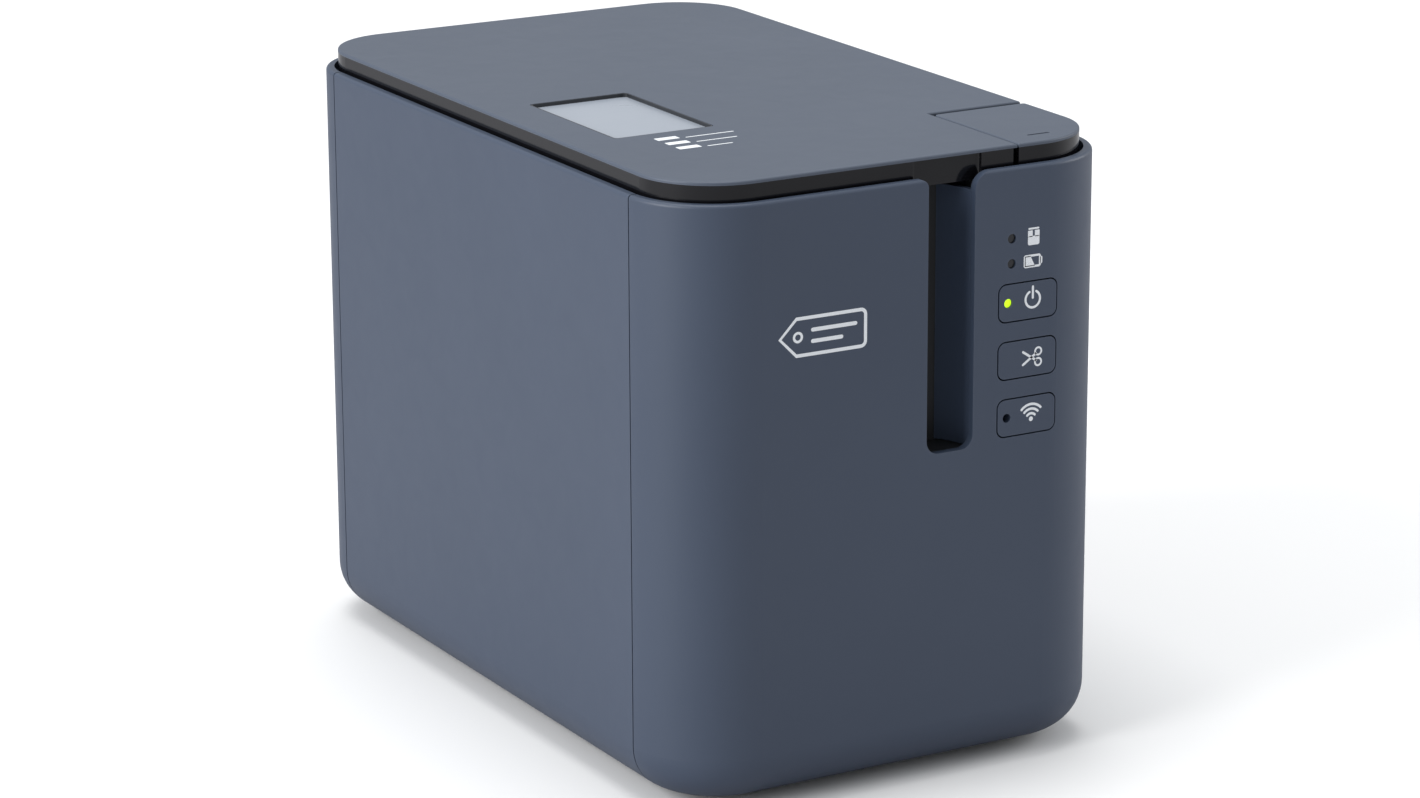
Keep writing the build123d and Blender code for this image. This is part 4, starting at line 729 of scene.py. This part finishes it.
sink_aluminium = moulded_finish(
    "extruded_aluminium",
    dark=(0.62, 0.63, 0.64), light=(0.72, 0.73, 0.74), worn=(0.88, 0.88, 0.88),
    rough=0.34, rough_change=0.10, grain=0.10, pit_scale=1100.0, wear=0.7, Metallic=1.0,
)
dress(sink_aluminium, "head_heat_sink")
glazed_ceramic = moulded_finish(
    "glazed_ceramic",
    dark=(0.62, 0.58, 0.47), light=(0.70, 0.66, 0.55), worn=(0.45, 0.42, 0.35),
    rough=0.18, rough_change=0.05, grain=0.02, pit_scale=1400.0, wear=0.4,
)
dress(glazed_ceramic, "print_head")

# ------------------------------------------------------------------ cassette
# Light grey two-part case, laminated tape, spools and a paper label with plain
# bars where the width and colour of the tape would be printed.
cassette_grey = moulded_finish(
    "cassette_grey",
    dark=(0.33, 0.34, 0.36), light=(0.39, 0.40, 0.42), worn=(0.50, 0.51, 0.53),
    rough=0.42, rough_change=0.06, grain=0.08, pit_scale=2100.0, wear=0.6,
)
dress(
    cassette_grey,
    "cassette_lower_case", "cassette_upper_case", "ribbon_supply_spool", "ribbon_takeup_spool",
)
laminate = moulded_finish(
    "laminated_tape",
    dark=(0.82, 0.82, 0.80), light=(0.88, 0.88, 0.86), worn=(0.7, 0.7, 0.68),
    rough=0.22, rough_change=0.05, grain=0.02, pit_scale=1500.0, wear=0.3,
)
dress(laminate, "tape_spool", "label_tape")
label_paper = moulded_finish(
    "label_paper",
    dark=(0.52, 0.54, 0.57), light=(0.58, 0.60, 0.63), worn=(0.42, 0.44, 0.47),
    rough=0.60, rough_change=0.06, grain=0.10, pit_scale=2800.0, wear=0.4,
)
dress(label_paper, "cassette_label")
label_ink = moulded_finish(
    "label_ink",
    dark=(0.016, 0.020, 0.030), light=(0.026, 0.031, 0.043), worn=(0.08, 0.09, 0.10),
    rough=0.45, rough_change=0.06, grain=0.04, pit_scale=2800.0, wear=0.3,
)
label_low, label_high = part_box("cassette_label")
label_x = (label_low[0] + label_high[0]) / 2 / mm
label_y = label_low[1] / mm


def on_label(point, lift=0.0):
    """Place on the paper label; point is across and back, in millimetres."""
    return Vector((point.x * mm, point.y * mm, label_high[2] + ink_stand_off + lift * mm))


# Heading, three lines, a colour patch and a foot bar, each given as across, back,
# width, depth and corner radius from the middle of the label's front edge.
label_patches = (
    (0.0, 7.0, 33.0, 7.0, 0.8),
    (-7.0, 18.0, 19.0, 1.6, 0.5),
    (-9.5, 22.5, 14.0, 1.6, 0.5),
    (-7.0, 27.0, 19.0, 1.6, 0.5),
    (11.0, 22.5, 9.0, 10.0, 1.2),
    (0.0, 64.0, 33.0, 3.0, 0.6),
)
ink_layer(
    "label_bars", [],
    [
        rounded_box((label_x + across, label_y + back), width, depth, corner)
        for across, back, width, depth, corner in label_patches
    ],
    on_label, "root", label_ink,
)

# ------------------------------------------------------------------ electronics
# Solder-masked boards, black moulded chips and switches, plated data socket.
solder_mask = moulded_finish(
    "green_solder_mask",
    dark=(0.010, 0.085, 0.040), light=(0.016, 0.120, 0.058), worn=(0.25, 0.22, 0.10),
    rough=0.28, rough_change=0.06, grain=0.10, pit_scale=700.0, wear=0.6,
)
dress(solder_mask, "main_board", "switch_board", "wireless_module")
chip_black = moulded_finish(
    "moulded_chip_black",
    dark=(0.014, 0.014, 0.015), light=(0.022, 0.022, 0.023), worn=(0.06, 0.06, 0.06),
    rough=0.50, rough_change=0.08, grain=0.12, pit_scale=1800.0,
)
dress(chip_black, "board_components", "tact_switches", "dc_inlet", "serial_socket")
plated_shell = moulded_finish(
    "nickel_plated",
    dark=(0.60, 0.59, 0.56), light=(0.70, 0.69, 0.66), worn=(0.85, 0.84, 0.80),
    rough=0.24, rough_change=0.08, grain=0.04, pit_scale=1200.0, wear=0.7, Metallic=1.0,
)
dress(plated_shell, "usb_socket")
